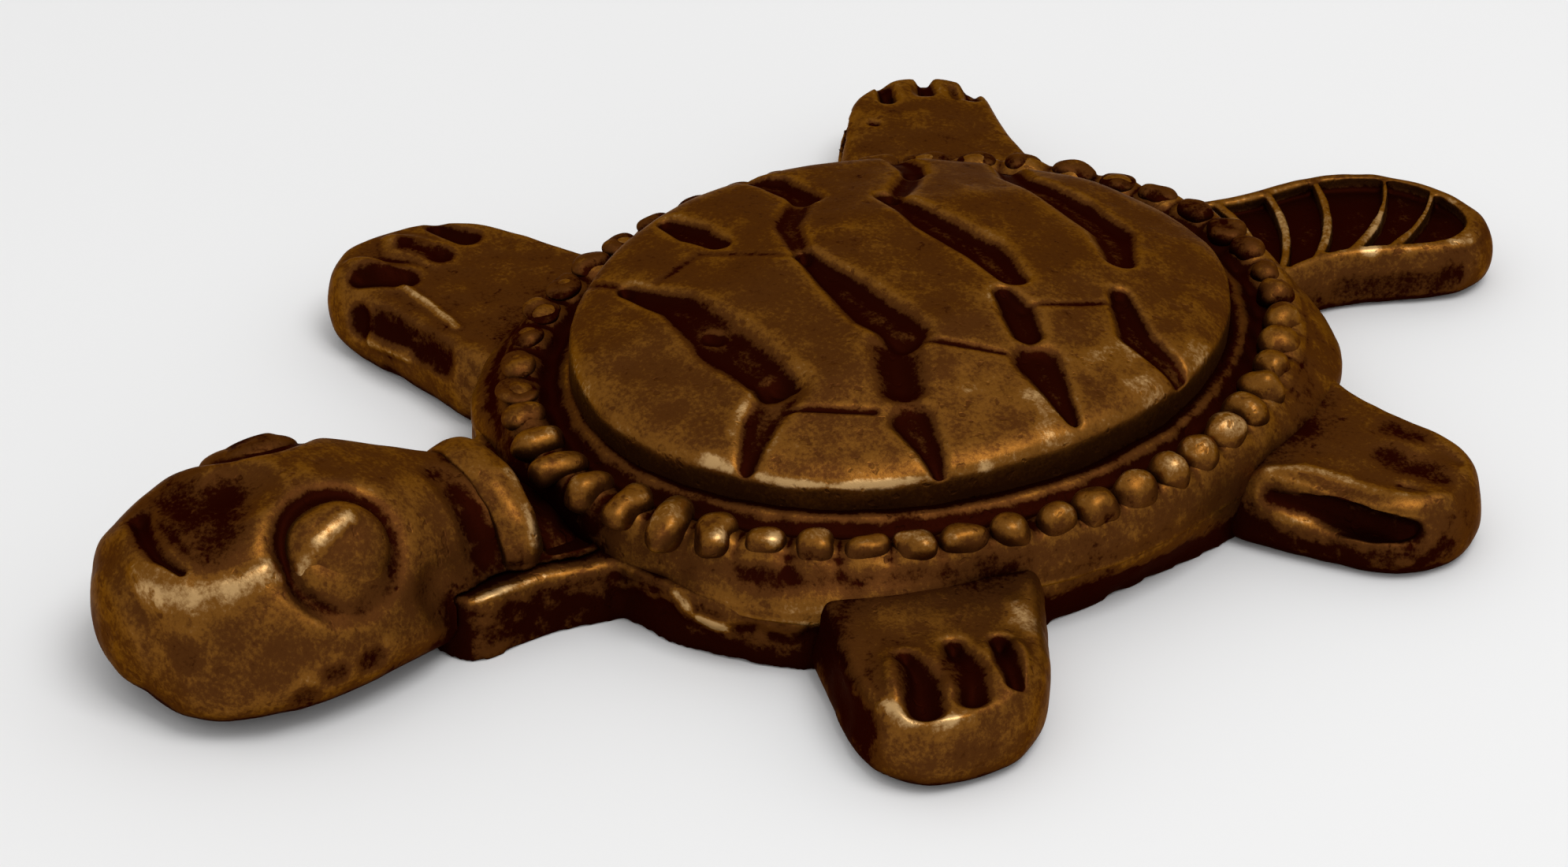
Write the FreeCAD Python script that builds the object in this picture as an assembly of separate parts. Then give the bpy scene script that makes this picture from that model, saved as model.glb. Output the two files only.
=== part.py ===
import FreeCAD, Part
import math
import os

# A cast brass turtle that lies flat on a table. The head points to -Y, the turtle's left side
# is +X and +Z is up. Every piece is a solid of its own, seated face to face on its neighbours
# along the seams that show. Lengths are millimetres and angles are degrees.

# Shell: the base slab, the rim that stands on it and the carved back inside the rim
shell_x = 1.6
shell_y = 4.7
shell_turn = 5.5
base_half_width = 17.3
base_half_length = 21.3
base_shift = -0.2
base_height = 3.5
base_squareness = 2.8
skirt_overhang = 1.1
skirt_length_overhang = 0.3
rim_height = 2.8
rim_round = 0.6
bead_inset = 1.2
bead_count = 48
bead_half_length = 1.3
bead_half_width = 1.12
bead_height = 1.14
channel_depth = 0.8
channel_width = 1.7
ledge_width = 0.8
dome_crown = 4.6
dome_drop_across = 2.4
dome_drop_along = 2.8
scute_cut_depth = 0.8
scute_cut_width = 2.5
side_cut_depth = 0.6
side_cut_width = 2.0
cutter_overrun = 6.0

# Scute plates as (across share, along share) of the back's half width and half length
plate_shares = [
    (0.0, -0.82), (0.0, -0.40), (0.0, -0.02), (0.0, 0.36), (0.0, 0.80),
    (0.64, -0.66), (0.66, -0.30), (0.66, 0.06), (0.66, 0.38), (0.62, 0.68),
    (-0.64, -0.66), (-0.66, -0.30), (-0.66, 0.04), (-0.66, 0.38), (-0.62, 0.68),
]
# Cuts across the middle row, as (from across, from along, to across, to along)
middle_cut_shares = [
    (-0.31, -0.66, 0.35, -0.68),
    (-0.20, -0.21, 0.40, -0.26),
    (-0.36, 0.15, 0.34, 0.15),
    (-0.22, 0.52, 0.32, 0.56),
]
# Cuts down the two sides, in the same form
side_cut_shares = [
    (0.28, -0.64, 0.50, -0.90),
    (0.46, -0.35, 0.90, -0.50),
    (0.42, 0.10, 0.96, -0.08),
    (0.38, 0.52, 0.98, 0.28),
    (-0.38, -0.58, -0.76, -0.67),
    (-0.62, -0.32, -0.98, -0.33),
    (-0.60, 0.02, -0.98, 0.07),
    (-0.62, 0.37, -0.97, 0.44),
    (-0.25, 0.61, -0.73, 0.75),
]

# Tongue of the base slab under the neck
tongue_x = 1.1
tongue_half_width = 6.2
tongue_reach = 8.2
tongue_root = 9.0
tongue_outline_shares = [
    (-1.0, 1.25), (0.05, 1.06), (0.50, 0.98), (0.86, 0.97), (1.0, 0.60),
    (1.0, -0.60), (0.86, -0.97), (0.50, -0.98), (0.05, -1.06), (-1.0, -1.25),
]

# Where the legs and the tail start, across and along the shell, as shares of the base's half sizes
left_fore_root_shares = (0.8934, -0.5462)
right_fore_root_shares = (-1.0617, -0.5301)
left_hind_root_shares = (0.8655, 0.5407)
right_hind_root_shares = (-0.8918, 0.7065)
tail_root_shares = (-0.0145, 1.0529)

# Fore legs
fore_length = 11.0
fore_half_width = 5.5
fore_thickness = 4.1
fore_root_depth = 4.0
left_fore_turn = -21.0
right_fore_turn = -15.0
right_fore_length = 10.4
right_fore_half_width = 6.0
fore_outline_shares = [
    (0.0, 1.02), (0.23, 0.93), (0.56, 0.80), (0.83, 0.54), (0.98, 0.0),
    (0.99, -0.44), (0.82, -0.83), (0.43, -0.96), (0.0, -1.0),
]
toe_pit_length = 4.0
toe_pit_width = 1.6
toe_pit_depth = 0.9
toe_pit_turn = -12.0
toe_pit_shares = [(0.66, -0.54), (0.70, -0.05), (0.66, 0.44)]

# Hind legs
hind_length = 10.7
hind_half_width = 5.3
hind_thickness = 4.0
hind_root_depth = 4.0
left_hind_turn = 19.0
right_hind_turn = 23.0
hind_outline_shares = [
    (0.0, 1.0), (0.26, 0.87), (0.54, 0.80), (0.80, 0.72), (0.97, 0.32),
    (0.99, -0.16), (0.90, -0.52), (0.42, -0.92), (0.0, -1.08),
]
hind_scoop_length = 8.0
hind_scoop_width = 1.7
hind_scoop_depth = 0.8
hind_scoop_share = 0.60
hind_scoop_rise_share = 0.70
hind_claw_shares = [(0.76, 0.42), (0.84, 0.05), (0.80, -0.28)]
hind_claw_length = 2.2
hind_claw_width = 0.9
hind_claw_depth = 0.35

# Tail
tail_turn = 80.0
tail_length = 14.0
tail_half_width = 5.3
tail_thickness = 3.4
tail_root_depth = 4.0
tail_outline_shares = [
    (0.02, 0.98), (0.28, 0.97), (0.50, 1.04), (0.68, 0.96), (0.88, 0.62),
    (0.99, 0.0), (0.975, -0.62), (0.86, -0.88), (0.68, -0.88), (0.32, -0.66),
    (0.02, -0.82),
]
tail_border = 1.1
tail_dish_depth = 0.8
tail_rib_shares = [0.08, 0.22, 0.40, 0.63, 0.84]
tail_rib_turns = [-9.0, -23.0, -29.0, -39.0, -39.0]
tail_rib_width = 0.4
tail_rib_radius = 14.0

# Soft edges of the legs and the tail
limb_foot_round = 0.6
limb_top_round = 0.9
limb_middle_share = 0.4

# Stub tenons that let the legs, the tail and the neck into the base slab
tenon_depth = 2.6
tenon_width = 4.2
tenon_height = 1.5
tenon_bottom = 1.0
tenon_clearance = 0.05

# Head and neck, from the neck's end in the shell to the snout
head_length = 23.3
neck_let_in = 0.6
head_half_width = 9.05
head_height = 9.5
head_side_slope = 0.42
head_bow = 1.6
# (along share from the neck, width share, bottom share, top share, sideways share of the bow)
head_station_shares = [
    (0.0, 0.62, 0.01, 0.60, 1.5), (0.16, 0.60, 0.01, 0.66, 1.3), (0.30, 0.66, 0.01, 0.76, 1.0),
    (0.44, 0.89, 0.01, 0.93, 0.62), (0.58, 0.99, 0.01, 1.0, 0.52), (0.72, 1.0, 0.01, 0.97, 0.50),
    (0.86, 0.86, 0.01, 0.88, 0.48), (0.95, 0.64, 0.06, 0.77, 0.4), (1.0, 0.40, 0.16, 0.62, 0.25),
]
section_squareness_share = 0.75
nose_cut_length = 6.4
nose_cut_width = 1.2
nose_cut_depth = 0.6
nose_cut_share = 0.87
brow_hollow_length = 5.6
brow_hollow_width = 4.4
brow_hollow_depth = 0.5
brow_hollow_share = 0.72

# Eyes: a domed boss in a ring groove on each side of the head
eye_share = 0.58
eye_reach = 5.5
eye_height = 7.2
eye_radius = 2.15
eye_bulge = 0.9
eye_ring_width = 0.95
eye_tilt = 40.0

# Collar band round the neck
collar_share = 0.19
collar_width = 1.7
collar_rise = 0.7

# Number of points in a curved outline, and how closely two heights must agree
outline_steps = 20
section_steps = 20
tolerance = 0.001


def vec(x, y, z):
    """A point or direction."""
    return FreeCAD.Vector(x, y, z)


def turned(angle):
    """A turn about the vertical axis."""
    return FreeCAD.Rotation(vec(0, 0, 1), angle)


def signed_power(value, power):
    """A power that keeps the sign of its value."""
    return math.copysign(abs(value) ** power, value)


def closed_wire(points):
    """A smooth closed wire through the points."""
    curve = Part.BSplineCurve()
    curve.interpolate(Points=points, PeriodicFlag=True)
    return Part.Wire(curve.toShape())


def on_shell(across, along, z):
    """A point given across and along the turned shell."""
    return vec(shell_x, shell_y, 0) + turned(shell_turn).multVec(vec(across, along, z))


def shell_curve(half_width, half_length, z):
    """An oval edge about the shell's middle, turned with the shell."""
    ends = [on_shell(0, half_length, z), on_shell(half_width, 0, z)]
    if half_width > half_length:
        ends.reverse()
    return Part.Ellipse(*ends, on_shell(0, 0, z)).toShape()


def shell_oval(half_width, half_length, low, high):
    """An upright oval block about the shell's middle, turned with the shell."""
    edge = shell_curve(half_width, half_length, low)
    return Part.Face(Part.Wire(edge)).extrude(vec(0, 0, high - low))


def top_edges(block):
    """The edges that lie at the top of a block."""
    top = block.BoundBox.ZMax
    return [edge for edge in block.Edges if math.isclose(edge.BoundBox.ZMin, top, abs_tol=tolerance)]


def boat(start, end, radius):
    """A blunt spindle from start to end, for carving a pit or a groove."""
    axis = end - start
    half = axis.Length / 2
    arc = Part.ArcOfEllipse(Part.Ellipse(vec(0, 0, 0), half, radius), 0, math.pi)
    face = Part.Face(Part.Wire([arc.toShape(), Part.makeLine(vec(-half, 0, 0), vec(half, 0, 0))]))
    solid = Part.Solid(face.revolve(vec(0, 0, 0), vec(1, 0, 0), 360))
    solid.Placement = FreeCAD.Placement((start + end) / 2, FreeCAD.Rotation(vec(1, 0, 0), axis))
    return solid


def pit(start, end, width, depth):
    """A boat whose pit, cut into a face through both points, has this width and depth."""
    radius = (width * width / 4 + depth * depth) / (2 * depth)
    lift = vec(0, 0, radius - depth)
    direction = (end - start).normalize()
    grow = direction * ((end - start).Length / 2) * (2 * radius / width - 1)
    return boat(start - grow + lift, end + grow + lift, radius)


def base_slab():
    """The lower slab: a squarish oval that reaches forward as a tongue under the neck."""
    points = []
    for step in range(outline_steps):
        angle = 2 * math.pi * step / outline_steps
        across = base_half_width * signed_power(math.cos(angle), 2 / base_squareness)
        along = base_half_length * signed_power(math.sin(angle), 2 / base_squareness)
        points.append(on_shell(across, base_shift + along, 0))
    body = Part.Face(closed_wire(points)).extrude(vec(0, 0, base_height))
    front = shell_y - base_half_length
    rows = []
    for along, across in tongue_outline_shares:
        reach = tongue_reach if along > 0 else tongue_root
        rows.append(vec(tongue_x + across * tongue_half_width, front - along * reach, 0))
    tongue = Part.Face(closed_wire(rows)).extrude(vec(0, 0, base_height))
    return body.fuse(tongue).removeSplitter()


def rim_floor():
    """The height of the channel between the beads and the back."""
    return base_height + rim_height - channel_depth


def bead_line():
    """Half width and half length of the bead row's middle line."""
    half_width = base_half_width + skirt_overhang - bead_inset
    half_length = base_half_length + skirt_length_overhang - bead_inset
    return half_width, half_length


def dome_half_sizes():
    """Half width and half length of the carved back at its foot."""
    half_width, half_length = bead_line()
    inset = bead_half_length + channel_width
    return half_width - inset, half_length - inset


def shell_rim():
    """The ring that carries the beads, with a channel and a seat for the back."""
    half_width = base_half_width + skirt_overhang
    half_length = base_half_length + skirt_length_overhang
    top = base_height + rim_height
    ring = shell_oval(half_width, half_length, base_height, top)
    ring = ring.makeFillet(rim_round, top_edges(ring))
    dome_width, dome_length = dome_half_sizes()
    channel = shell_oval(dome_width + channel_width, dome_length + channel_width, rim_floor(),
                         top + cutter_overrun)
    seat = shell_oval(dome_width - ledge_width, dome_length - ledge_width, base_height - cutter_overrun,
                      top + cutter_overrun)
    return ring.cut([channel, seat])


def bead_places():
    """Places and outward directions of the beads, evenly spaced along their line."""
    edge = shell_curve(*bead_line(), base_height + rim_height)
    places = []
    for step in range(bead_count):
        mark = edge.getParameterByLength(edge.Length * (step + 0.5) / bead_count)
        along = edge.tangentAt(mark)
        places.append((edge.valueAt(mark), along.cross(vec(0, 0, 1))))
    return places


def rim_beads():
    """The row of beads on the rim, each one a flat-footed oval knob."""
    knob = boat(vec(-bead_half_length, 0, 0), vec(bead_half_length, 0, 0), bead_half_width)
    knob.translate(vec(0, 0, bead_height - bead_half_width))
    foot = Part.makeBox(4 * bead_half_length, 4 * bead_half_width, 2 * bead_half_width,
                        vec(-2 * bead_half_length, -2 * bead_half_width, -2 * bead_half_width))
    knob = knob.cut(foot)
    beads = []
    for place, outward in bead_places():
        bead = knob.copy()
        bead.Placement = FreeCAD.Placement(place, FreeCAD.Rotation(vec(1, 0, 0), outward))
        beads.append(bead)
    return Part.makeCompound(beads)


def back_height(across, along):
    """The height of the smooth back that the scute plates follow, from shares."""
    crown = rim_floor() + dome_crown
    return crown - dome_drop_across * across * across - dome_drop_along * along * along


def back_point(across, along):
    """A point on the smooth back, from shares of its half sizes."""
    half_width, half_length = dome_half_sizes()
    return on_shell(across * half_width, along * half_length, back_height(across, along))


def plate_cutter(across, along):
    """A block that lies on the plane of one scute plate."""
    half_width, half_length = dome_half_sizes()
    normal = vec(2 * dome_drop_across * across / half_width, 2 * dome_drop_along * along / half_length, 1)
    side = 4 * half_length
    block = Part.makeBox(side, side, side, vec(-side / 2, -side / 2, 0))
    tilt = FreeCAD.Rotation(vec(0, 0, 1), turned(shell_turn).multVec(normal))
    block.Placement = FreeCAD.Placement(back_point(across, along), tilt)
    return block


def scute_cut(shares, width, depth):
    """One carved cut between two places on the back."""
    from_across, from_along, to_across, to_along = shares
    start = back_point(from_across, from_along)
    end = back_point(to_across, to_along)
    return pit(start, end, width, depth)


def carapace():
    """The carved back: flat scute plates, carved cuts and a spigot that sits in the rim."""
    half_width, half_length = dome_half_sizes()
    floor = rim_floor()
    top = floor + dome_crown
    body = shell_oval(half_width, half_length, floor, top + cutter_overrun)
    spigot = shell_oval(half_width - ledge_width, half_length - ledge_width, base_height, floor)
    body = body.cut([plate_cutter(across, along) for across, along in plate_shares])
    cuts = [scute_cut(shares, scute_cut_width, scute_cut_depth) for shares in middle_cut_shares]
    cuts += [scute_cut(shares, side_cut_width, side_cut_depth) for shares in side_cut_shares]
    body = body.cut(cuts)
    return body.fuse(spigot).removeSplitter()


class Limb:
    """A flat limb: an outline in shares, laid along a turned axis from its root."""

    def __init__(self, root_shares, turn, length, half_width, thickness, root_depth, mirrored=False):
        across, along = root_shares
        self.origin = on_shell(across * base_half_width, along * base_half_length, 0)
        self.rotation = turned(180 - turn) if mirrored else turned(turn)
        self.side = -1 if mirrored else 1
        self.length = length
        self.half_width = half_width
        self.thickness = thickness
        self.root_depth = root_depth

    def place(self, along, across, z):
        """A point along and across the limb, from shares of its length and half width."""
        local = vec(along * self.length, self.side * across * self.half_width, z)
        return self.origin + self.rotation.multVec(local)

    def ring(self, outline, inset, z):
        """The limb's outline at one height, drawn in by the inset."""
        along_scale = 1 - inset / (self.length * (1 - limb_middle_share))
        across_scale = 1 - inset / self.half_width
        points = []
        for along, across in outline:
            shrunk = limb_middle_share + (along - limb_middle_share) * along_scale
            points.append(self.place(shrunk, across * across_scale, z))
        root = -self.root_depth / self.length
        last = outline[-1][1] * across_scale
        first = outline[0][1] * across_scale
        points.append(self.place(root, last, z))
        points.append(self.place(root, first, z))
        return closed_wire(points)

    def solid(self, outline):
        """The limb as a slab with soft lower and upper edges."""
        top = self.thickness
        levels = [
            (limb_foot_round, 0),
            (0, limb_foot_round),
            (0, top - limb_top_round),
            (limb_top_round / 3, top - limb_top_round / 3),
            (limb_top_round, top),
        ]
        return Part.makeLoft([self.ring(outline, inset, z) for inset, z in levels], True, False)

    def tenon(self, grow):
        """The stub that enters the base slab, grown by the clearance for its mortise."""
        width = tenon_width + 2 * grow
        depth = self.root_depth + tenon_depth + grow
        block = Part.makeBox(depth + self.root_depth, width, tenon_height + 2 * grow,
                             vec(-depth, -width / 2, tenon_bottom - grow))
        block.Placement = FreeCAD.Placement(self.origin, self.rotation)
        return block


def legs():
    """The four legs by name, with their outlines."""
    left_fore = (fore_length, fore_half_width, fore_thickness, fore_root_depth)
    right_fore = (right_fore_length, right_fore_half_width, fore_thickness, fore_root_depth)
    hind = (hind_length, hind_half_width, hind_thickness, hind_root_depth)
    return {
        "left_foreleg": Limb(left_fore_root_shares, left_fore_turn, *left_fore),
        "right_foreleg": Limb(right_fore_root_shares, right_fore_turn, *right_fore, mirrored=True),
        "left_hind_leg": Limb(left_hind_root_shares, left_hind_turn, *hind),
        "right_hind_leg": Limb(right_hind_root_shares, right_hind_turn, *hind, mirrored=True),
    }


def foreleg(limb):
    """A fore leg with three toe pits in its top."""
    body = limb.solid(fore_outline_shares)
    pits = []
    half = toe_pit_length / 2
    for along, across in toe_pit_shares:
        middle = limb.place(along, across, limb.thickness)
        reach = limb.rotation.multVec(turned(limb.side * toe_pit_turn).multVec(vec(half, 0, 0)))
        pits.append(pit(middle - reach, middle + reach, toe_pit_width, toe_pit_depth))
    return body.cut(pits)


def hind_leg(limb):
    """A hind leg with claw notches in its top and a long scoop along its front side."""
    body = limb.solid(hind_outline_shares)
    cuts = []
    half = hind_claw_length / 2
    for along, across in hind_claw_shares:
        middle = limb.place(along, across, limb.thickness)
        reach = limb.rotation.multVec(vec(half, 0, 0))
        cuts.append(pit(middle - reach, middle + reach, hind_claw_width, hind_claw_depth))
    rise = hind_scoop_rise_share * limb.thickness
    middle = limb.place(hind_scoop_share, 0, rise)
    across = limb.place(hind_scoop_share, hind_outline_shares[-2][1], rise) - middle
    run = limb.rotation.multVec(turned(limb.side * hind_front_turn()).multVec(vec(hind_scoop_length / 2, 0, 0)))
    centre = middle + across * (1 - hind_scoop_depth / across.Length)
    cuts.append(boat(centre - run, centre + run, hind_scoop_width / 2))
    return body.cut(cuts)


def hind_front_turn():
    """The turn of the hind leg's front side against its axis."""
    along_a, across_a = hind_outline_shares[-2]
    along_b, across_b = hind_outline_shares[-3]
    rise = (across_b - across_a) * hind_half_width
    return math.degrees(math.atan2(rise, (along_b - along_a) * hind_length))


def tail_limb():
    """The tail's place and size."""
    size = (tail_length, tail_half_width, tail_thickness, tail_root_depth)
    return Limb(tail_root_shares, tail_turn, *size)


def tail_rib(limb, along, turn):
    """One thin rib across the tail's dish, turned from square and bulging a little towards the tip."""
    swing = turned(limb.side * turn).multVec(vec(tail_rib_radius, 0, 0))
    middle = limb.place(along, 0, 0) - limb.rotation.multVec(swing)
    outer = Part.makeCylinder(tail_rib_radius + tail_rib_width / 2, limb.thickness, middle)
    inner = Part.makeCylinder(tail_rib_radius - tail_rib_width / 2, limb.thickness, middle)
    return outer.cut(inner)


def tail(limb):
    """The tail: a flat paddle whose top is dished between a border and raised ribs."""
    body = limb.solid(tail_outline_shares)
    floor = limb.thickness - tail_dish_depth
    dish = Part.Face(limb.ring(tail_outline_shares, tail_border, floor))
    dish = dish.extrude(vec(0, 0, tail_dish_depth + cutter_overrun))
    places = zip(tail_rib_shares, tail_rib_turns)
    hollows = dish.cut([tail_rib(limb, along, turn) for along, turn in places])
    return body.cut(hollows)


def head_y(share):
    """The place along Y of a share of the head and neck, from the neck's end."""
    return shell_y - base_half_length + neck_let_in - head_length * share


def head_section(share, width, bottom, top, bow, grow=0):
    """One section of the head: broad and flat below, narrower above."""
    low = bottom * head_height
    height = top * head_height - low
    points = []
    for step in range(section_steps):
        angle = 2 * math.pi * step / section_steps
        rise = 0.5 + 0.5 * signed_power(math.sin(angle), section_squareness_share)
        half = (width * head_half_width) * (1 - head_side_slope * rise)
        x = bow * head_bow + (half + grow) * signed_power(math.cos(angle), section_squareness_share)
        points.append(vec(x, head_y(share), low + (height + grow) * rise))
    return closed_wire(points)


def head_blank():
    """The head and neck before the eyes and the cuts."""
    return Part.makeLoft([head_section(*station) for station in head_station_shares], True, False)


def head_station(share):
    """The head's section shares at any place, between the two nearest stations."""
    for before, after in zip(head_station_shares, head_station_shares[1:]):
        if before[0] <= share <= after[0]:
            mix = (share - before[0]) / (after[0] - before[0])
            return [a + (b - a) * mix for a, b in zip(before, after)]
    return list(head_station_shares[-1])


def eye_place(side):
    """The middle of one eye and the direction that it faces."""
    bow = head_station(eye_share)[4] * head_bow
    tilt = math.radians(eye_tilt)
    facing = vec(side * math.cos(tilt), 0, math.sin(tilt))
    return vec(bow + side * eye_reach, head_y(eye_share), eye_height), facing


def eye_ring(side):
    """The ring groove round one eye."""
    middle, facing = eye_place(side)
    return Part.makeTorus(eye_radius + eye_ring_width / 2, eye_ring_width / 2, middle, facing)


def eye(side, head):
    """The domed boss of one eye, seated on the head."""
    middle, facing = eye_place(side)
    radius = (eye_radius * eye_radius + eye_bulge * eye_bulge) / (2 * eye_bulge)
    ball = Part.makeSphere(radius, middle + facing * (eye_bulge - radius))
    plug = Part.makeCylinder(eye_radius, 2 * eye_radius, middle - facing * eye_radius, facing)
    return ball.common(plug).cut(head)


def head():
    """The head with its neck, nose cut, brow hollow and eye rings."""
    body = head_blank()
    nose = head_station(nose_cut_share)
    height = nose[3] * head_height
    middle = vec(nose[4] * head_bow, head_y(nose_cut_share), height)
    reach = vec(nose_cut_length / 2, 0, 0)
    cuts = [pit(middle - reach, middle + reach, nose_cut_width, nose_cut_depth)]
    brow = head_station(brow_hollow_share)
    middle = vec(brow[4] * head_bow, head_y(brow_hollow_share), brow[3] * head_height)
    reach = vec(brow_hollow_length / 2, 0, 0)
    cuts.append(pit(middle - reach, middle + reach, brow_hollow_width, brow_hollow_depth))
    cuts += [eye_ring(1), eye_ring(-1)]
    return body.cut(cuts)


def collar():
    """The raised band over the neck."""
    share_width = collar_width / head_length
    ends = [collar_share - share_width / 2, collar_share + share_width / 2]
    middle = head_section(*head_station(collar_share), grow=collar_rise)
    wires = [head_section(*head_station(ends[0]), grow=collar_rise / 2), middle,
             head_section(*head_station(ends[1]), grow=collar_rise / 2)]
    band = Part.makeLoft(wires, True, False)
    side = 4 * head_half_width
    below = Part.makeBox(side, side, base_height, vec(-side / 2, head_y(collar_share) - side / 2, 0))
    return band.cut(below)


def neck_tenon(grow):
    """The stub that lets the neck into the base slab, grown for its mortise."""
    width = tenon_width + 2 * grow
    start = shell_y - base_half_length - tongue_reach - tenon_depth
    return Part.makeBox(width, 2 * tenon_depth + grow, tenon_height + 2 * grow,
                        vec(tongue_x - width / 2, start, tenon_bottom - grow))


def limb_shape(name, limb):
    """The solid of one leg or of the tail."""
    if name == "tail":
        return tail(limb)
    if "fore" in name:
        return foreleg(limb)
    return hind_leg(limb)


def build():
    """All pieces by node name, each cut to sit on what carries it."""
    base = base_slab()
    rim = shell_rim()
    back = carapace()
    body = [base, rim, back]
    pieces = {}
    mortises = [neck_tenon(tenon_clearance)]
    limbs = legs()
    limbs["tail"] = tail_limb()
    for name, limb in limbs.items():
        shape = limb_shape(name, limb).cut(body)
        pieces[name] = shape.fuse(limb.tenon(0).common(base)).removeSplitter()
        mortises.append(limb.tenon(tenon_clearance))
    pieces["head"] = head().cut(body).fuse(neck_tenon(0).common(base)).removeSplitter()
    pieces["neck_collar"] = collar().cut(body + [head_blank()])
    pieces["left_eye"] = eye(1, pieces["head"])
    pieces["right_eye"] = eye(-1, pieces["head"])
    pieces["base_slab"] = base.cut(mortises)
    pieces["shell_rim"] = rim
    pieces["rim_beads"] = rim_beads()
    pieces["carapace"] = back
    return pieces


def centred(pieces):
    """The pieces moved so that the origin is under the middle of the whole turtle."""
    box = Part.makeCompound(list(pieces.values())).optimalBoundingBox(False, False)
    shift = vec(-(box.XMin + box.XMax) / 2, -(box.YMin + box.YMax) / 2, -box.ZMin)
    for shape in pieces.values():
        shape.translate(shift)
    return shift


os.makedirs("parts", exist_ok=True)
turtle = build()
moved = centred(turtle)
print("moved by", [round(value, 3) for value in moved])
for name, shape in turtle.items():
    shape.exportStep("parts/" + name + ".step")
    print(name, "solids", len(shape.Solids), "volume", round(shape.Volume, 2), "valid", shape.isValid())
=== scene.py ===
import logging
import math
from dataclasses import dataclass
from enum import Enum

import bmesh
import bpy
import numpy as np
from mathutils import Matrix, Vector


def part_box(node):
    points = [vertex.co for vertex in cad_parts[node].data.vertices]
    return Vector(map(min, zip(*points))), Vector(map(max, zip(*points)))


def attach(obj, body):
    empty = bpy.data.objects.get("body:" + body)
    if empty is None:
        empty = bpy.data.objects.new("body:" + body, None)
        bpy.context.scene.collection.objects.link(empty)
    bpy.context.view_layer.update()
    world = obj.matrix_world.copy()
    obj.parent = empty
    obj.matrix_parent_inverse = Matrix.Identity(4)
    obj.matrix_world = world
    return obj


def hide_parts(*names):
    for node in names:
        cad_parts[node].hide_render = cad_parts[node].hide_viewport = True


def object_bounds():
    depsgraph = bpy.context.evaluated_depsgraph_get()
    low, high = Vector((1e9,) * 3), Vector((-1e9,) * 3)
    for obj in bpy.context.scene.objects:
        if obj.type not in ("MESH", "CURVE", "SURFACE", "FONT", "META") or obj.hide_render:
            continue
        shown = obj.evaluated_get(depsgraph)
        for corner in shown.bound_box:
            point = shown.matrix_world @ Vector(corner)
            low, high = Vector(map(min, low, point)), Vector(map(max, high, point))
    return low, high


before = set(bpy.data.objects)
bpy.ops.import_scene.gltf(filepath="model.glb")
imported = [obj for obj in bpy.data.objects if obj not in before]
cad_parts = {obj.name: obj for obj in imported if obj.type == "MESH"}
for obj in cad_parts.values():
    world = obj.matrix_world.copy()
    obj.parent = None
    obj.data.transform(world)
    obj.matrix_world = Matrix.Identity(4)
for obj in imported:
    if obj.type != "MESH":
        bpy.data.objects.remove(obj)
CAD_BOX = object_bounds()

log = logging.getLogger("turtle")

# Sizes below are millimetres, as a caster would note them, and turn to metres in the meshes
MM = 0.001

# A point seen from above, a place, two limits, a linear colour, and a number or a socket
Plan = tuple[float, float]
Place = tuple[float, float, float]
Span = tuple[float, float]
Colour = tuple[float, float, float]
Feed = float | bpy.types.NodeSocket


class Tool(Enum):
    """The tool that made a mark in the wax, which gives the mark its profile."""

    CHISEL = "chisel"
    PEN = "pen"
    THUMB = "thumb"


@dataclass(frozen=True)
class Mark:
    """One mark in the wax, seen from above.

    Args:
        line: points that the middle of the mark runs through.
        widths: full width of the mark at each of these points.
        depth: how deep it cuts, or how far it stands up where it is negative.
        tool: the tool that gives its profile.
        patina_and_shade: how much patina and painted shade it holds, or how much painted highlight
            a raised one carries.
    """

    line: tuple[Plan, ...]
    widths: tuple[float, ...]
    depth: float
    tool: Tool
    patina_and_shade: float = 0.30


@dataclass(frozen=True)
class SoftPatch:
    """A soft patch along a line. As a stroke it paints highlight, and shade where it is negative,
    with some wear; the fills use it to say where hollows are filled.

    Args:
        line: the points that it runs through, in plan or in space.
        radius: how far it reaches from its line.
        amount: how much painted highlight and wear it adds, or painted shade where it is negative;
            a fill's share.
    """

    line: tuple[tuple[float, ...], ...]
    radius: float
    amount: float


@dataclass(frozen=True)
class Uneven:
    """An unevenness of the skin.

    Args:
        depth: how far it moves the skin in or out.
        size: how wide one of its bumps is.
    """

    depth: float
    size: float


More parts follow.
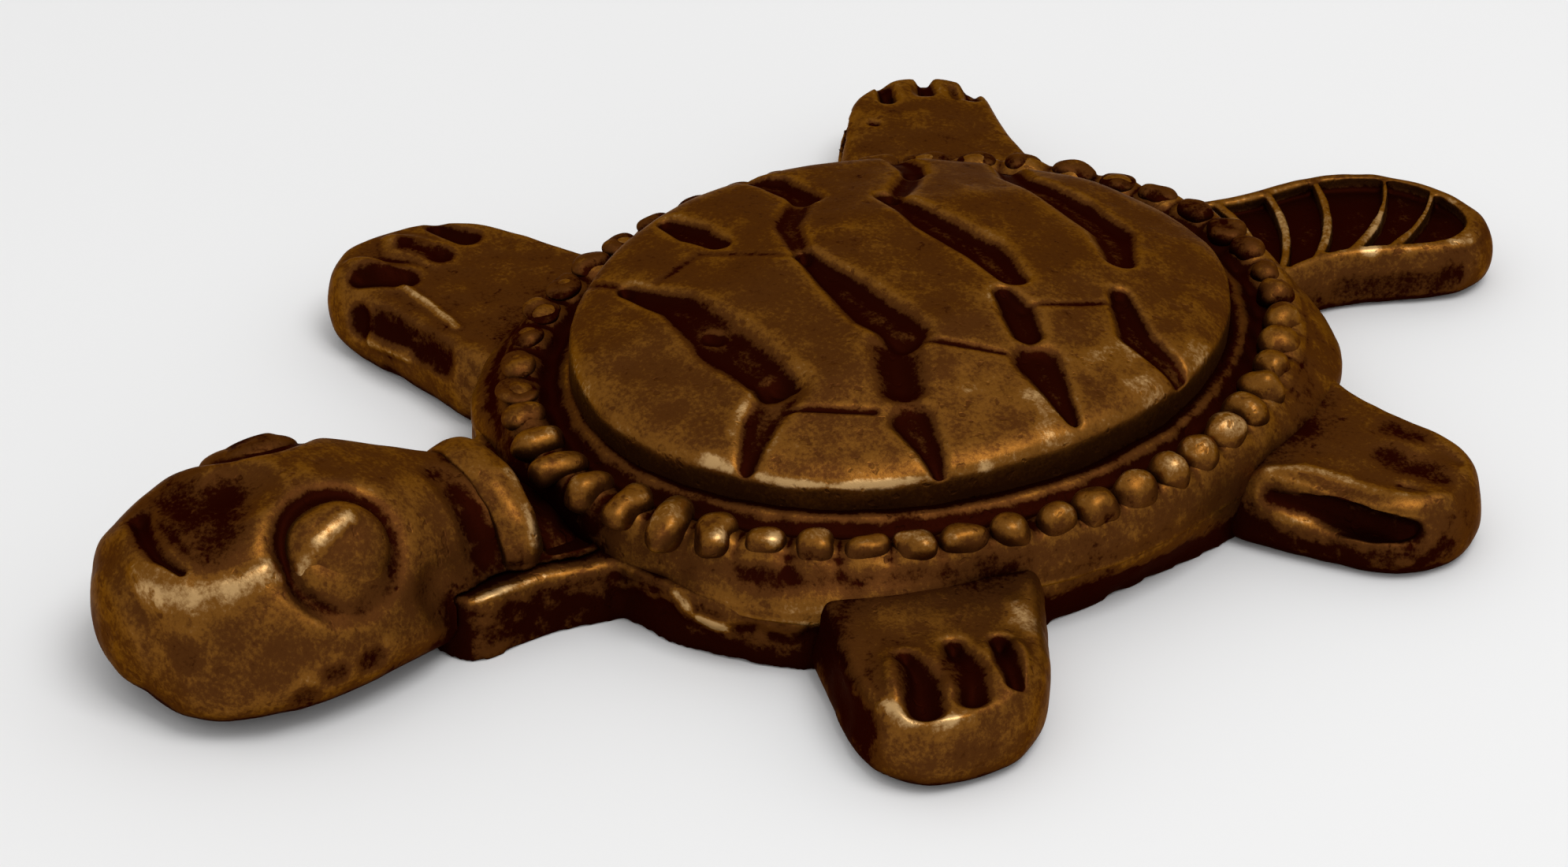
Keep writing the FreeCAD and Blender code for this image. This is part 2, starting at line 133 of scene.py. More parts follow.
@dataclass(frozen=True)
class ShellPlan:
    """The shell's own axes in the plan and the oval sizes that its pieces share."""

    # How far the shell's axes are turned from the turtle's, seen from above
    turn: float = math.radians(5.5)
    # Half sizes of the oval that the beads stand on, and of the slab
    bead_half_width: float = 17.2
    bead_half_length: float = 20.4
    slab_half_width: float = 17.3
    slab_half_length: float = 21.3
    # The power in the slab's outline: 2 is an oval, more is squarer
    slab_squareness: float = 2.8

    def middle(self) -> np.ndarray:
        """The middle of the shell in plan, from the rim's own box."""
        low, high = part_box("shell_rim")
        return np.array([(low.x + high.x) / 2, (low.y + high.y) / 2]) / MM

    def to_shell(self, points: np.ndarray) -> np.ndarray:
        """Plan points as distances across and along the shell.

        Args:
            points: places in millimetres, of which only the plan counts.

        Returns:
            One row for each place, across and then along.
        """
        offset = points[:, :2] - self.middle()
        cos, sin = math.cos(self.turn), math.sin(self.turn)
        across = offset[:, 0] * cos + offset[:, 1] * sin
        along = offset[:, 1] * cos - offset[:, 0] * sin
        return np.column_stack([across, along])

    def to_plan(self, shell: np.ndarray) -> np.ndarray:
        """Distances across and along the shell as plan points.

        Args:
            shell: one row for each place, across and then along.

        Returns:
            One plan point for each place.
        """
        cos, sin = math.cos(self.turn), math.sin(self.turn)
        x = shell[:, 0] * cos - shell[:, 1] * sin
        y = shell[:, 0] * sin + shell[:, 1] * cos
        return np.column_stack([x, y]) + self.middle()

    def oval_reach(self, angle: np.ndarray, grow: float) -> np.ndarray:
        """How far the bead line, grown outwards, lies from the middle in each direction."""
        width, length = self.bead_half_width + grow, self.bead_half_length + grow
        return 1 / np.hypot(np.cos(angle) / width, np.sin(angle) / length)

    def slab_reach(self, angle: np.ndarray) -> np.ndarray:
        """How far the squarish slab reaches from the middle in each direction.

        Args:
            angle: the directions about the shell's middle.

        Returns:
            The distance in each direction.
        """
        power = self.slab_squareness
        across = np.abs(np.cos(angle) / self.slab_half_width) ** power
        along = np.abs(np.sin(angle) / self.slab_half_length) ** power
        return (across + along) ** (-1 / power)


SHELL = ShellPlan()
# Keeps a division by a distance away from zero
TINY = 1e-6


def ease(low: float, high: float, value: np.ndarray) -> np.ndarray:
    """A smooth step from 0 at the low value to 1 at the high one."""
    share = np.clip((value - low) / (high - low), 0, 1)
    return share * share * (3 - 2 * share)


@dataclass(frozen=True)
class CastSkin:
    """The uneven skin of a casting, as smooth noise in space.

    Args:
        seed: starts the random lattice, so that each run gives the same skin.
        cells: how many places the lattice has along each side.
    """

    seed: int = 7
    cells: int = 32

    def noise(self, points: np.ndarray, scale: float) -> np.ndarray:
        """Smooth noise between about -1 and 1.

        Args:
            points: places in millimetres.
            scale: the size of one bump.

        Returns:
            One value for each place.
        """
        cube = (self.cells, self.cells, self.cells)
        lattice = np.random.default_rng(self.seed).uniform(-1, 1, cube)
        spot = points / scale
        whole = np.floor(spot).astype(int)
        part = spot - whole
        part = part * part * (3 - 2 * part)
        total = np.zeros(len(points))
        for corner in range(8):
            step = np.array([corner & 1, (corner >> 1) & 1, corner >> 2])
            weight = np.prod(np.where(step == 1, part, 1 - part), axis=1)
            place = (whole + step) % self.cells
            total += weight * lattice[place[:, 0], place[:, 1], place[:, 2]]
        return total


SKIN = CastSkin()


class Wax:
    """A mesh that is shaped by moving its vertices, in millimetres, and then cast as a piece."""

    # Points closer together than this part of a small face become one point
    WELD_PART = 50
    # How far a face has to look up to take a mark, from not at all to fully
    FACING = (0.05, 0.45)
    # The share of its radius over which a patch is at full strength
    PATCH_FLOOR = 0.6
    # Rounds of work when hollows are filled
    FILL_PASSES = 3
    FILL_GUIDE_ROUNDS = 8
    FILL_SMOOTHING = 12

    def __init__(self, name: str, mesh: bpy.types.Mesh) -> None:
        """Puts a mesh into the scene as the wax of one piece.

        Args:
            name: the piece's name.
            mesh: its mesh, in metres.
        """
        self.name = name
        self.object = bpy.data.objects.new(name, mesh)
        bpy.context.scene.collection.objects.link(self.object)
        self.read()
        # Patina and painted shade held in marks, negative where a raised mark carries a painted
        # highlight
        self.patina_and_shade = np.zeros(len(self.points))

    @classmethod
    def of_node(cls, name: str, node: str, grain: float) -> "Wax":
        """A dense and even copy of a CAD node.

        Args:
            name: the piece's name.
            node: the CAD node that it copies.
            grain: the size of its small faces.

        Returns:
            The wax, ready for marks.
        """
        shape = bmesh.new()
        shape.from_mesh(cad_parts[node].data)
        bmesh.ops.remove_doubles(shape, verts=shape.verts, dist=grain * MM / cls.WELD_PART)
        mesh = bpy.data.meshes.new(name)
        shape.to_mesh(mesh)
        shape.free()
        rough = bpy.data.objects.new(name + "_rough", mesh)
        bpy.context.scene.collection.objects.link(rough)
        remesh = rough.modifiers.new("even", "REMESH")
        remesh.mode = "VOXEL"
        remesh.voxel_size = grain * MM
        graph = bpy.context.evaluated_depsgraph_get()
        even = bpy.data.meshes.new_from_object(rough.evaluated_get(graph))
        bpy.data.objects.remove(rough)
        return cls(name, even)

    @classmethod
    def of_shape(cls, name: str, shape: bmesh.types.BMesh) -> "Wax":
        """The wax of a shape made in millimetres with mesh operators.

        Args:
            name: the piece's name.
            shape: the shape, which is used up.

        Returns:
            The wax, ready for marks.
        """
        bmesh.ops.recalc_face_normals(shape, faces=shape.faces)
        bmesh.ops.scale(shape, vec=(MM, MM, MM), verts=shape.verts)
        mesh = bpy.data.meshes.new(name)
        shape.to_mesh(mesh)
        shape.free()
        return cls(name, mesh)

    def read(self) -> None:
        """Reads places, normals and edges back from the mesh."""
        mesh = self.object.data
        count = len(mesh.vertices)
        flat = np.empty(count * 3, np.float32)
        mesh.vertices.foreach_get("co", flat)
        self.points = flat.reshape(-1, 3).astype(float) / MM
        mesh.vertex_normals.foreach_get("vector", flat)
        self.normals = flat.reshape(-1, 3).astype(float)
        pairs = np.empty(len(mesh.edges) * 2, np.int32)
        mesh.edges.foreach_get("vertices", pairs)
        self.pairs = pairs.reshape(-1, 2)

    def face_out(self) -> None:
        """Turns the faces round if they point inwards, told by the sign of the volume."""
        mesh = self.object.data
        mesh.calc_loop_triangles()
        corners = np.empty(len(mesh.loop_triangles) * 3, np.int32)
        mesh.loop_triangles.foreach_get("vertices", corners)
        first, second, third = (self.points[corners[number::3]] for number in range(3))
        if (np.cross(first, second) * third).sum() < 0:
            mesh.flip_normals()
            mesh.update()
            self.read()

    def write(self) -> None:
        """Writes the places to the mesh and reads its new normals."""
        mesh = self.object.data
        mesh.vertices.foreach_set("co", (self.points * MM).astype(np.float32).ravel())
        mesh.update()
        self.read()

    def averaged(self, values: np.ndarray, rounds: int) -> np.ndarray:
        """Values, one row a vertex, averaged with their neighbours this many times.

        Args:
            values: one row for each vertex.
            rounds: how many times.

        Returns:
            The averaged values, in the same rows.
        """
        first, second = self.pairs[:, 0], self.pairs[:, 1]
        count = len(values)
        degree = np.bincount(first, minlength=count) + np.bincount(second, minlength=count)
        degree = np.maximum(degree, 1)
        result = values.reshape(count, -1).astype(float)
        for _ in range(rounds):
            total = np.empty_like(result)
            for column in range(result.shape[1]):
                line = result[:, column]
                total[:, column] = (np.bincount(first, line[second], count)
                                    + np.bincount(second, line[first], count))
            result = 0.5 * result + 0.5 * total / degree[:, None]
        return result.reshape(values.shape)

    def soften(self, rounds: int, where: np.ndarray | None = None) -> None:
        """Rubs the surface smooth.

        Args:
            rounds: how long it is rubbed.
            where: how much of it each vertex takes, all of it if left out.
        """
        smooth = self.averaged(self.points, rounds)
        share = 1 if where is None else where[:, None]
        self.points += (smooth - self.points) * share
        self.write()

    def cover(self, patches: tuple[SoftPatch, ...]) -> np.ndarray:
        """How much each vertex lies in soft patches, from 0 to the amount of the strongest one.

        Args:
            patches: where the patches are.

        Returns:
            One value for each vertex.
        """
        share = np.zeros(len(self.points))
        for patch in patches:
            line = np.array(patch.line)
            away = along_line(line, self.points[:, :line.shape[1]])[0] / patch.radius
            share = np.maximum(share, patch.amount * (1 - ease(self.PATCH_FLOOR, 1.0, away)))
        return share

    def fill(self, patches: tuple[SoftPatch, ...], rounds: int) -> None:
        """Fills the hollows in some patches, so that they can be cut anew, and leaves the rest.

        Args:
            patches: where the hollows are filled.
            rounds: how wide a hollow it closes.
        """
        share = self.cover(patches)
        for _ in range(self.FILL_PASSES):
            smooth = self.averaged(self.points, rounds)
            guide = self.averaged(self.normals, self.FILL_GUIDE_ROUNDS)
            rise = ((smooth - self.points) * guide).sum(1)
            self.points += guide * (np.maximum(rise, 0) * share)[:, None]
            self.write()
        self.soften(self.FILL_SMOOTHING, share)

    def mark(self, marks: tuple[Mark, ...], above: float, on_shell: bool = False) -> None:
        """Cuts or raises marks, straight down from above.

        Args:
            marks: what to cut.
            above: only vertices above this height move.
            on_shell: whether their points are across and along the shell.
        """
        plan = SHELL.to_shell(self.points) if on_shell else self.points[:, :2]
        facing = ease(*self.FACING, self.normals[:, 2]) * (self.points[:, 2] > above)
        for stroke in marks:
            depth, patina_and_shade = mark_depth(stroke, plan)
            self.points[:, 2] -= facing * depth
            if stroke.depth > 0:
                self.patina_and_shade = np.maximum(self.patina_and_shade, facing * patina_and_shade)
            else:
                self.patina_and_shade = self.patina_and_shade + facing * patina_and_shade
        self.write()

    def dimple(self, uneven: Uneven) -> None:
        """Moves the skin in and out along its normals with smooth noise.

        Args:
            uneven: how far the skin moves, and how wide its bumps are.
        """
        noise = SKIN.noise(self.points, uneven.size)
        self.points += self.normals * (noise * uneven.depth)[:, None]
        self.write()

    def settle(self) -> None:
        """Keeps the skin inside the CAD model's box, and so above the ground."""
        low, high = (np.array(corner) / MM for corner in CAD_BOX)
        self.points = np.clip(self.points, low, high)
        self.write()

    def store(self, name: str, values: np.ndarray) -> None:
        """Keeps one value a vertex as an attribute for the finish."""
        attribute = self.object.data.attributes.new(name, "FLOAT", "POINT")
        attribute.data.foreach_set("value", values.astype(np.float32))

    def cast(self, nodes: list[str], finish: bpy.types.Material) -> bpy.types.Object:
        """Turns the wax into a finished piece that stands for CAD nodes.

        Args:
            nodes: the CAD nodes that it replaces.
            finish: its brass.

        Returns:
            The finished object.
        """
        mesh = self.object.data
        mesh.materials.clear()
        mesh.materials.append(finish)
        mesh.polygons.foreach_set("use_smooth", np.ones(len(mesh.polygons), bool))
        mesh.update()
        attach(self.object, "root")
        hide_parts(*nodes)
        log.info("%s: %d faces for %s", self.name, len(mesh.polygons), ", ".join(nodes))
        return self.object


def along_line(line: np.ndarray, places: np.ndarray) -> tuple[np.ndarray, np.ndarray]:
    """The nearest place on a line of points, in plan or in space.

    Args:
        line: the line's points, or its one point.
        places: the places that ask.

    Returns:
        The distance to the line, and the place along it as a point number.
    """
    best = np.linalg.norm(places - line[0], axis=1)
    place = np.zeros(len(places))
    for number, (start, end) in enumerate(zip(line[:-1], line[1:])):
        run = end - start
        share = np.clip(((places - start) @ run) / float(run @ run), 0, 1)
        distance = np.linalg.norm(places - (start + share[:, None] * run), axis=1)
        closer = distance < best
        best = np.where(closer, distance, best)
        place = np.where(closer, number + share, place)
    return best, place


# Where the floor and the wall of a mark end, and where its patina and painted shade fade, in half
# widths from its line
CHISEL_WALL = (0.45, 1.15)
THUMB_WALL = (0.0, 1.2)
PATINA_AND_SHADE_WALL = (0.55, 1.3)
# How fast the soft wall of a pen's line falls
PEN_FALL = 2.5
# How far from its line a mark can reach, in full widths
MARK_REACH = 1.6


def mark_depth(stroke: Mark, plan: np.ndarray) -> tuple[np.ndarray, np.ndarray]:
    """How deep one mark cuts at each place, and how much patina it holds there.

    Args:
        stroke: the mark.
        plan: the places.

    Returns:
        The depth and the stain at each place, 0 outside the mark.
    """
    line = np.array(stroke.line, float)
    reach = max(stroke.widths) * MARK_REACH
    near = np.all((plan > line.min(0) - reach) & (plan < line.max(0) + reach), axis=1)
    depth = np.zeros(len(plan))
    patina_and_shade = np.zeros(len(plan))
    if not near.any():
        return depth, patina_and_shade
    distance, place = along_line(line, plan[near])
    half = np.interp(place, np.arange(len(line)), stroke.widths) / 2
    across = distance / half
    if stroke.tool is Tool.CHISEL:
        profile = 1 - ease(*CHISEL_WALL, across)
    elif stroke.tool is Tool.PEN:
        profile = np.exp(-PEN_FALL * across * across)
    else:
        profile = 1 - ease(*THUMB_WALL, across)
    depth[near] = stroke.depth * profile
    patina_and_shade[near] = math.copysign(stroke.patina_and_shade, stroke.depth) * (1 - ease(*PATINA_AND_SHADE_WALL, across))
    return depth, patina_and_shade


@dataclass(frozen=True)
class Brass:
    """The colours of cast brass from its darkest hollow to its most worn edge, as linear light,
    with painted shade at the dark end and painted highlights at the bright end.

    Args:
        name: the material's name.
        hollow: the patina in the deepest places, also painted shade on shaded sides and in
            recesses.
        skin: the plain brown skin.
        warm: the skin where hands have rubbed it, also painted light on the facets that face the
            lamp.
        worn_and_highlight: the bare metal on edges, also the colour of painted highlights.
        cloud: the size of the patina's clouds, in millimetres.
        gloss: how rough the plain skin is.
        edge_tint: the colour of the metal where it is seen at a flat angle.
        grain_strength: how much of the grain's height shows.
        grain_height: the height of the grain, in millimetres.
    """

    name: str
    # Patina and painted shade
    hollow: Colour = (0.020, 0.0026, 0.0006)
    skin: Colour = (0.090, 0.030, 0.0065)
    # Rubbed skin and painted light on lit facets
    warm: Colour = (0.195, 0.076, 0.0115)
    # Bare metal and painted highlights
    worn_and_highlight: Colour = (0.56, 0.34, 0.14)
    cloud: float = 2.2
    gloss: float = 0.48
    edge_tint: Colour = (0.55, 0.45, 0.38)
    grain_strength: float = 0.5
    grain_height: float = 0.07

    def build(self, patina: bpy.types.ShaderNodeTree) -> bpy.types.Material:
        """Makes the material around the shared patina group.

        Args:
            patina: the group that mixes the colours.

        Returns:
            The finished material.
        """
        material = bpy.data.materials.new(self.name)
        material.use_nodes = True
        tree = material.node_tree
        tree.nodes.clear()
        output = tree.nodes.new("ShaderNodeOutputMaterial")
        shader = tree.nodes.new("ShaderNodeBsdfPrincipled")
        group = tree.nodes.new("ShaderNodeGroup")
        group.node_tree = patina
        place = tree.nodes.new("ShaderNodeTexCoord")
        # Reads the wear, patina and painted light and shade stored on each vertex
        wear_and_painted_light = tree.nodes.new("ShaderNodeAttribute")
        wear_and_painted_light.attribute_name = "wear_and_painted_light"
        bump = tree.nodes.new("ShaderNodeBump")
        colours = {"Hollow": self.hollow, "Skin": self.skin, "Warm": self.warm, "Worn And Highlight": self.worn_and_highlight}
        for socket, colour in colours.items():
            group.inputs[socket].default_value = (*colour, 1.0)
        group.inputs["Cloud Size"].default_value = self.cloud
        group.inputs["Gloss"].default_value = self.gloss
        shader.inputs["Metallic"].default_value = 1.0
        shader.inputs["Specular Tint"].default_value = (*self.edge_tint, 1.0)
        bump.inputs["Strength"].default_value = self.grain_strength
        bump.inputs["Distance"].default_value = self.grain_height * MM
        links = tree.links
        links.new(place.outputs["Object"], group.inputs["Place"])
        links.new(wear_and_painted_light.outputs["Fac"], group.inputs["Wear And Painted Light"])
        links.new(group.outputs["Color"], shader.inputs["Base Color"])
        links.new(group.outputs["Roughness"], shader.inputs["Roughness"])
        links.new(group.outputs["Height"], bump.inputs["Height"])
        links.new(bump.outputs["Normal"], shader.inputs["Normal"])
        links.new(shader.outputs["BSDF"], output.inputs["Surface"])
        return material


class PatinaGroup:
    """The shader node group that every brass piece shares."""

    INPUTS = (
        ("Place", "NodeSocketVector"), ("Wear And Painted Light", "NodeSocketFloat"), ("Hollow", "NodeSocketColor"),
        ("Skin", "NodeSocketColor"), ("Warm", "NodeSocketColor"), ("Worn And Highlight", "NodeSocketColor"),
        ("Cloud Size", "NodeSocketFloat"), ("Gloss", "NodeSocketFloat"),
    )
    OUTPUTS = (
        ("Color", "NodeSocketColor"), ("Roughness", "NodeSocketFloat"),
        ("Height", "NodeSocketFloat"),
    )
    # Detail and roughness of each noise, and the size of its spots in millimetres
    CLOUD = (4.0, 0.6)
    GRAIN = (4.0, 0.7)
    GRAIN_SIZE = 0.24
    SPECK = (2.0, 0.5)
    SPECK_SIZE = 0.7
    # Millimetres in a metre
    PER_METRE = 1000.0
    # The middle value of a noise, and how much clouds and grain shift the level of wear and painted
    # light around it
    HALF = 0.5
    CLOUD_SHIFT = 0.75
    GRAIN_SHIFT = 0.80
    # Which specks are pits, and how much patina a pit holds
    PIT_EDGE = (0.30, 0.38)
    PIT_PATINA = 0.15
    # The level of wear and painted light over which one colour turns into the next, from patina and
    # painted shade up to bare metal and painted highlight
    SKIN_EDGE = (0.08, 0.42)
    WARM_EDGE = (0.48, 0.80)
    WORN_AND_HIGHLIGHT_EDGE = (0.80, 1.25)
    # Level of wear and painted light from and to, and the roughness that it adds there
    POLISH = (0.1, 1.0, 0.14, -0.12)
    GRAIN_ROUGHNESS = 0.2
    # Shares of the bump's height
    GRAIN_HEIGHT = 0.45
    PIT_HEIGHT = 0.55

    def __init__(self) -> None:
        """Makes the group with its sockets and joins its nodes."""
        self.tree = bpy.data.node_groups.new("Brass patina", "ShaderNodeTree")
        for name, kind in self.INPUTS:
            self.tree.interface.new_socket(name, in_out="INPUT", socket_type=kind)
        for name, kind in self.OUTPUTS:
            self.tree.interface.new_socket(name, in_out="OUTPUT", socket_type=kind)
        self.start = self.tree.nodes.new("NodeGroupInput")
        self.end = self.tree.nodes.new("NodeGroupOutput")
        self.wire()

    def math(self, kind: str, first: Feed, second: Feed) -> bpy.types.NodeSocket:
        """One sum of two values or sockets.

        Args:
            kind: what is worked out.
            first: the first value.
            second: the second value.

        Returns:
            The socket that gives the result.
        """
        node = self.tree.nodes.new("ShaderNodeMath")
        node.operation = kind
        for socket, value in zip(node.inputs, (first, second)):
            if isinstance(value, (int, float)):
                socket.default_value = value
            else:
                self.tree.links.new(value, socket)
        return node.outputs[0]

    def noise(self, place: bpy.types.NodeSocket, scale: Feed, detail: float,
              rough: float) -> bpy.types.NodeSocket:
        """Cloudy noise at a place.

        Args:
            place: where it is read.
            scale: how many spots fit in a metre.
            detail: how many finer layers lie over it.
            rough: how strong these are.

        Returns:
            The socket that gives the result.
        """
        node = self.tree.nodes.new("ShaderNodeTexNoise")
        node.inputs["Detail"].default_value = detail
        node.inputs["Roughness"].default_value = rough
        self.tree.links.new(place, node.inputs["Vector"])
        if isinstance(scale, (int, float)):
            node.inputs["Scale"].default_value = scale
        else:
            self.tree.links.new(scale, node.inputs["Scale"])
        return node.outputs["Fac"]

    def step(self, value: bpy.types.NodeSocket, low: float, high: float, start: float = 0.0,
             end: float = 1.0) -> bpy.types.NodeSocket:
        """A smooth step of a value from one result to another.

        Args:
            value: the value.
            low: where the step starts.
            high: where it ends.
            start: the result before it.
            end: the result after it.

        Returns:
            The socket that gives the result.
        """
        node = self.tree.nodes.new("ShaderNodeMapRange")
        node.interpolation_type = "SMOOTHSTEP"
        settings = (low, high, start, end)
        for name, number in zip(("From Min", "From Max", "To Min", "To Max"), settings):
            node.inputs[name].default_value = number
        self.tree.links.new(value, node.inputs["Value"])
        return node.outputs["Result"]

    def mix(self, share: bpy.types.NodeSocket, first: bpy.types.NodeSocket,
            second: bpy.types.NodeSocket) -> bpy.types.NodeSocket:
        """A mix of two colours.

        Args:
            share: how much of the second colour there is.
            first: the first colour.
            second: the second colour.

        Returns:
            The socket that gives the result.
        """
        node = self.tree.nodes.new("ShaderNodeMix")
        node.data_type = "RGBA"
        sockets = {socket.identifier: socket for socket in node.inputs}
        self.tree.links.new(share, sockets["Factor_Float"])
        self.tree.links.new(first, sockets["A_Color"])
        self.tree.links.new(second, sockets["B_Color"])
        return next(socket for socket in node.outputs if socket.identifier == "Result_Color")

    def wire(self) -> None:
        """Joins wear and painted light, clouds, grain and pits into colour, roughness and height.
        """
        inputs = self.start.outputs
        place = inputs["Place"]
        cloud_scale = self.math("DIVIDE", self.PER_METRE, inputs["Cloud Size"])
        cloud = self.noise(place, cloud_scale, *self.CLOUD)
        grain = self.noise(place, self.PER_METRE / self.GRAIN_SIZE, *self.GRAIN)
        speck = self.noise(place, self.PER_METRE / self.SPECK_SIZE, *self.SPECK)
        pits = self.step(speck, *self.PIT_EDGE)
        around = self.math("SUBTRACT", grain, self.HALF)
        drift = self.math("MULTIPLY", self.math("SUBTRACT", cloud, self.HALF), self.CLOUD_SHIFT)
        fine = self.math("MULTIPLY", around, self.GRAIN_SHIFT)
        level = self.math("ADD", inputs["Wear And Painted Light"], self.math("ADD", drift, fine))
        level = self.math("SUBTRACT", level, self.step(speck, *self.PIT_EDGE, self.PIT_PATINA, 0.0))
        colour = self.mix(self.step(level, *self.SKIN_EDGE), inputs["Hollow"], inputs["Skin"])
        colour = self.mix(self.step(level, *self.WARM_EDGE), colour, inputs["Warm"])
        colour = self.mix(self.step(level, *self.WORN_AND_HIGHLIGHT_EDGE), colour, inputs["Worn And Highlight"])
        rough = self.math("ADD", inputs["Gloss"], self.step(level, *self.POLISH))
        rough = self.math("ADD", rough, self.math("MULTIPLY", around, self.GRAIN_ROUGHNESS))
        height = self.math("ADD", self.math("MULTIPLY", grain, self.GRAIN_HEIGHT),
                           self.math("MULTIPLY", pits, self.PIT_HEIGHT))
        links = self.tree.links
        links.new(colour, self.end.inputs["Color"])
        links.new(rough, self.end.inputs["Roughness"])
        links.new(height, self.end.inputs["Height"])


@dataclass
class Carapace:
    """The carved back: flat scute plates with hand-cut grooves between them."""

    # Half sizes of the oval, and the heights of its foot and its middle
    half_width: float = 14.2
    half_length: float = 17.4
    foot: float = 5.4
    crown: float = 10.0
    # How far the back falls to its sides and its ends, and how soft its plates meet
    drop_across: float = 2.4
    drop_along: float = 2.8
    plate_softness: float = 0.08
    # The direction of the far side, and how much wider and higher the back is there
    far_turn: float = math.radians(-155)
    far_grow: float = 0.8
    far_lift: float = 0.75
    # How wide the rounded edge is, and how far it falls
    edge_round: float = 1.3
    edge_drop: float = 0.60
    # Squares across and along the sheet, and rows in its wall
    cuts_across: int = 190
    cuts_along: int = 230
    wall_steps: int = 12
    # Only vertices above this height take marks
    cut_above: float = 6.2
    # Rounds of smoothing after the grooves and at the end
    groove_softening: int = 2
    last_softening: int = 1
    # The skin's wide and narrow unevenness
    broad: Uneven = Uneven(0.10, 5.5)
    fine: Uneven = Uneven(0.035, 1.3)
    # The middles of the plates, as shares of the half sizes
    plate_shares: tuple[Plan, ...] = (
        (0.0, -0.82), (0.0, -0.40), (0.0, -0.02), (0.0, 0.36), (0.0, 0.80),
        (0.64, -0.66), (0.66, -0.30), (0.66, 0.06), (0.66, 0.38), (0.62, 0.68),
        (-0.64, -0.66), (-0.66, -0.30), (-0.66, 0.04), (-0.66, 0.38), (-0.62, 0.68),
    )
    middle_grooves: tuple[Mark, ...] = (
        Mark(((-8.8, -11.0), (-5.4, -10.4), (-1.0, -10.8), (2.9, -10.9)), (1.1, 2.3, 3.4, 2.6),
             0.50, Tool.CHISEL, 0.30),
        Mark(((-4.2, -3.3), (-1.0, -3.6), (2.0, -3.9), (4.4, -3.8)), (1.2, 2.3, 3.0, 2.5), 0.55,
             Tool.CHISEL, 0.26),
        Mark(((-7.2, 4.3), (-3.4, 4.0), (0.4, 4.3), (3.6, 3.6)), (1.3, 2.4, 2.8, 1.8), 0.55,
             Tool.CHISEL, 0.22),
        Mark(((-11.4, 15.0), (-6.2, 12.2), (-1.8, 12.3), (1.6, 11.9), (4.4, 10.0)),
             (1.3, 1.8, 2.7, 2.7, 1.9), 0.55, Tool.CHISEL, 0.20),
    )
    near_grooves: tuple[Mark, ...] = (
        Mark(((3.7, -10.9), (4.7, -13.0), (6.3, -15.1)), (2.7, 2.2, 1.0), 0.42, Tool.CHISEL, 0.16),
        Mark(((5.0, -5.1), (7.2, -6.4)), (3.0, 2.8), 0.60, Tool.THUMB, 0.34),
        Mark(((9.2, -7.4), (10.8, -7.8), (12.6, -8.4)), (2.5, 1.7, 0.6), 0.50, Tool.CHISEL, 0.24),
        Mark(((4.6, 2.2), (6.0, 1.9), (7.4, 1.3)), (1.3, 2.1, 1.8), 0.55, Tool.CHISEL, 0.24),
        Mark(((9.4, 0.3), (11.2, -0.2), (13.4, -0.9)), (2.8, 1.9, 0.7), 0.48, Tool.CHISEL, 0.24),
        Mark(((7.0, 7.7), (9.9, 6.2), (13.2, 6.3)), (1.2, 2.1, 1.5), 0.48, Tool.CHISEL, 0.22),
    )
    far_grooves: tuple[Mark, ...] = (
        Mark(((-12.9, -5.4), (-10.9, -5.3), (-8.9, -5.2)), (1.2, 2.0, 1.3), 0.50, Tool.CHISEL,
             0.26),
        Mark(((-14.0, 0.9), (-12.8, 1.5), (-10.1, 1.4)), (1.4, 2.1, 1.8), 0.50, Tool.CHISEL, 0.24),
        Mark(((-10.0, 1.0), (-7.6, -1.8), (-4.4, -3.4)), (1.6, 1.6, 1.1), 0.26, Tool.CHISEL, 0.16),
        Mark(((-11.9, 8.9), (-10.6, 8.6), (-9.5, 8.0)), (1.5, 1.7, 1.4), 0.45, Tool.CHISEL, 0.26),
        Mark(((-9.5, 8.0), (-8.2, 6.5), (-7.1, 5.0)), (1.3, 1.5, 1.3), 0.32, Tool.CHISEL, 0.16),
    )
    thin_lines: tuple[Mark, ...] = (
        Mark(((5.0, -11.7), (7.8, -8.6)), (0.5, 0.6), 0.16, Tool.PEN, 0.22),
        Mark(((5.6, -3.4), (6.8, -2.2), (8.2, -0.8)), (0.5, 0.6, 0.5), 0.14, Tool.PEN, 0.18),
        Mark(((5.8, 2.4), (6.8, 4.8), (7.5, 7.2)), (0.5, 0.5, 0.5), 0.10, Tool.PEN, 0.14),
        Mark(((-8.0, -9.8), (-8.6, -6.6), (-4.7, -4.0)), (0.7, 0.7, 0.7), 0.06, Tool.PEN, 0.10),
        Mark(((-12.6, -12.0), (-8.8, -10.9)), (0.7, 0.8), 0.10, Tool.PEN, 0.16),
        Mark(((-2.2, -10.8), (-1.9, -10.6)), (1.1, 1.1), 0.30, Tool.THUMB, 0.5),
        Mark(((3.1, -10.9), (4.0, -10.3)), (0.5, 0.5), 0.20, Tool.PEN, 0.4),
    )
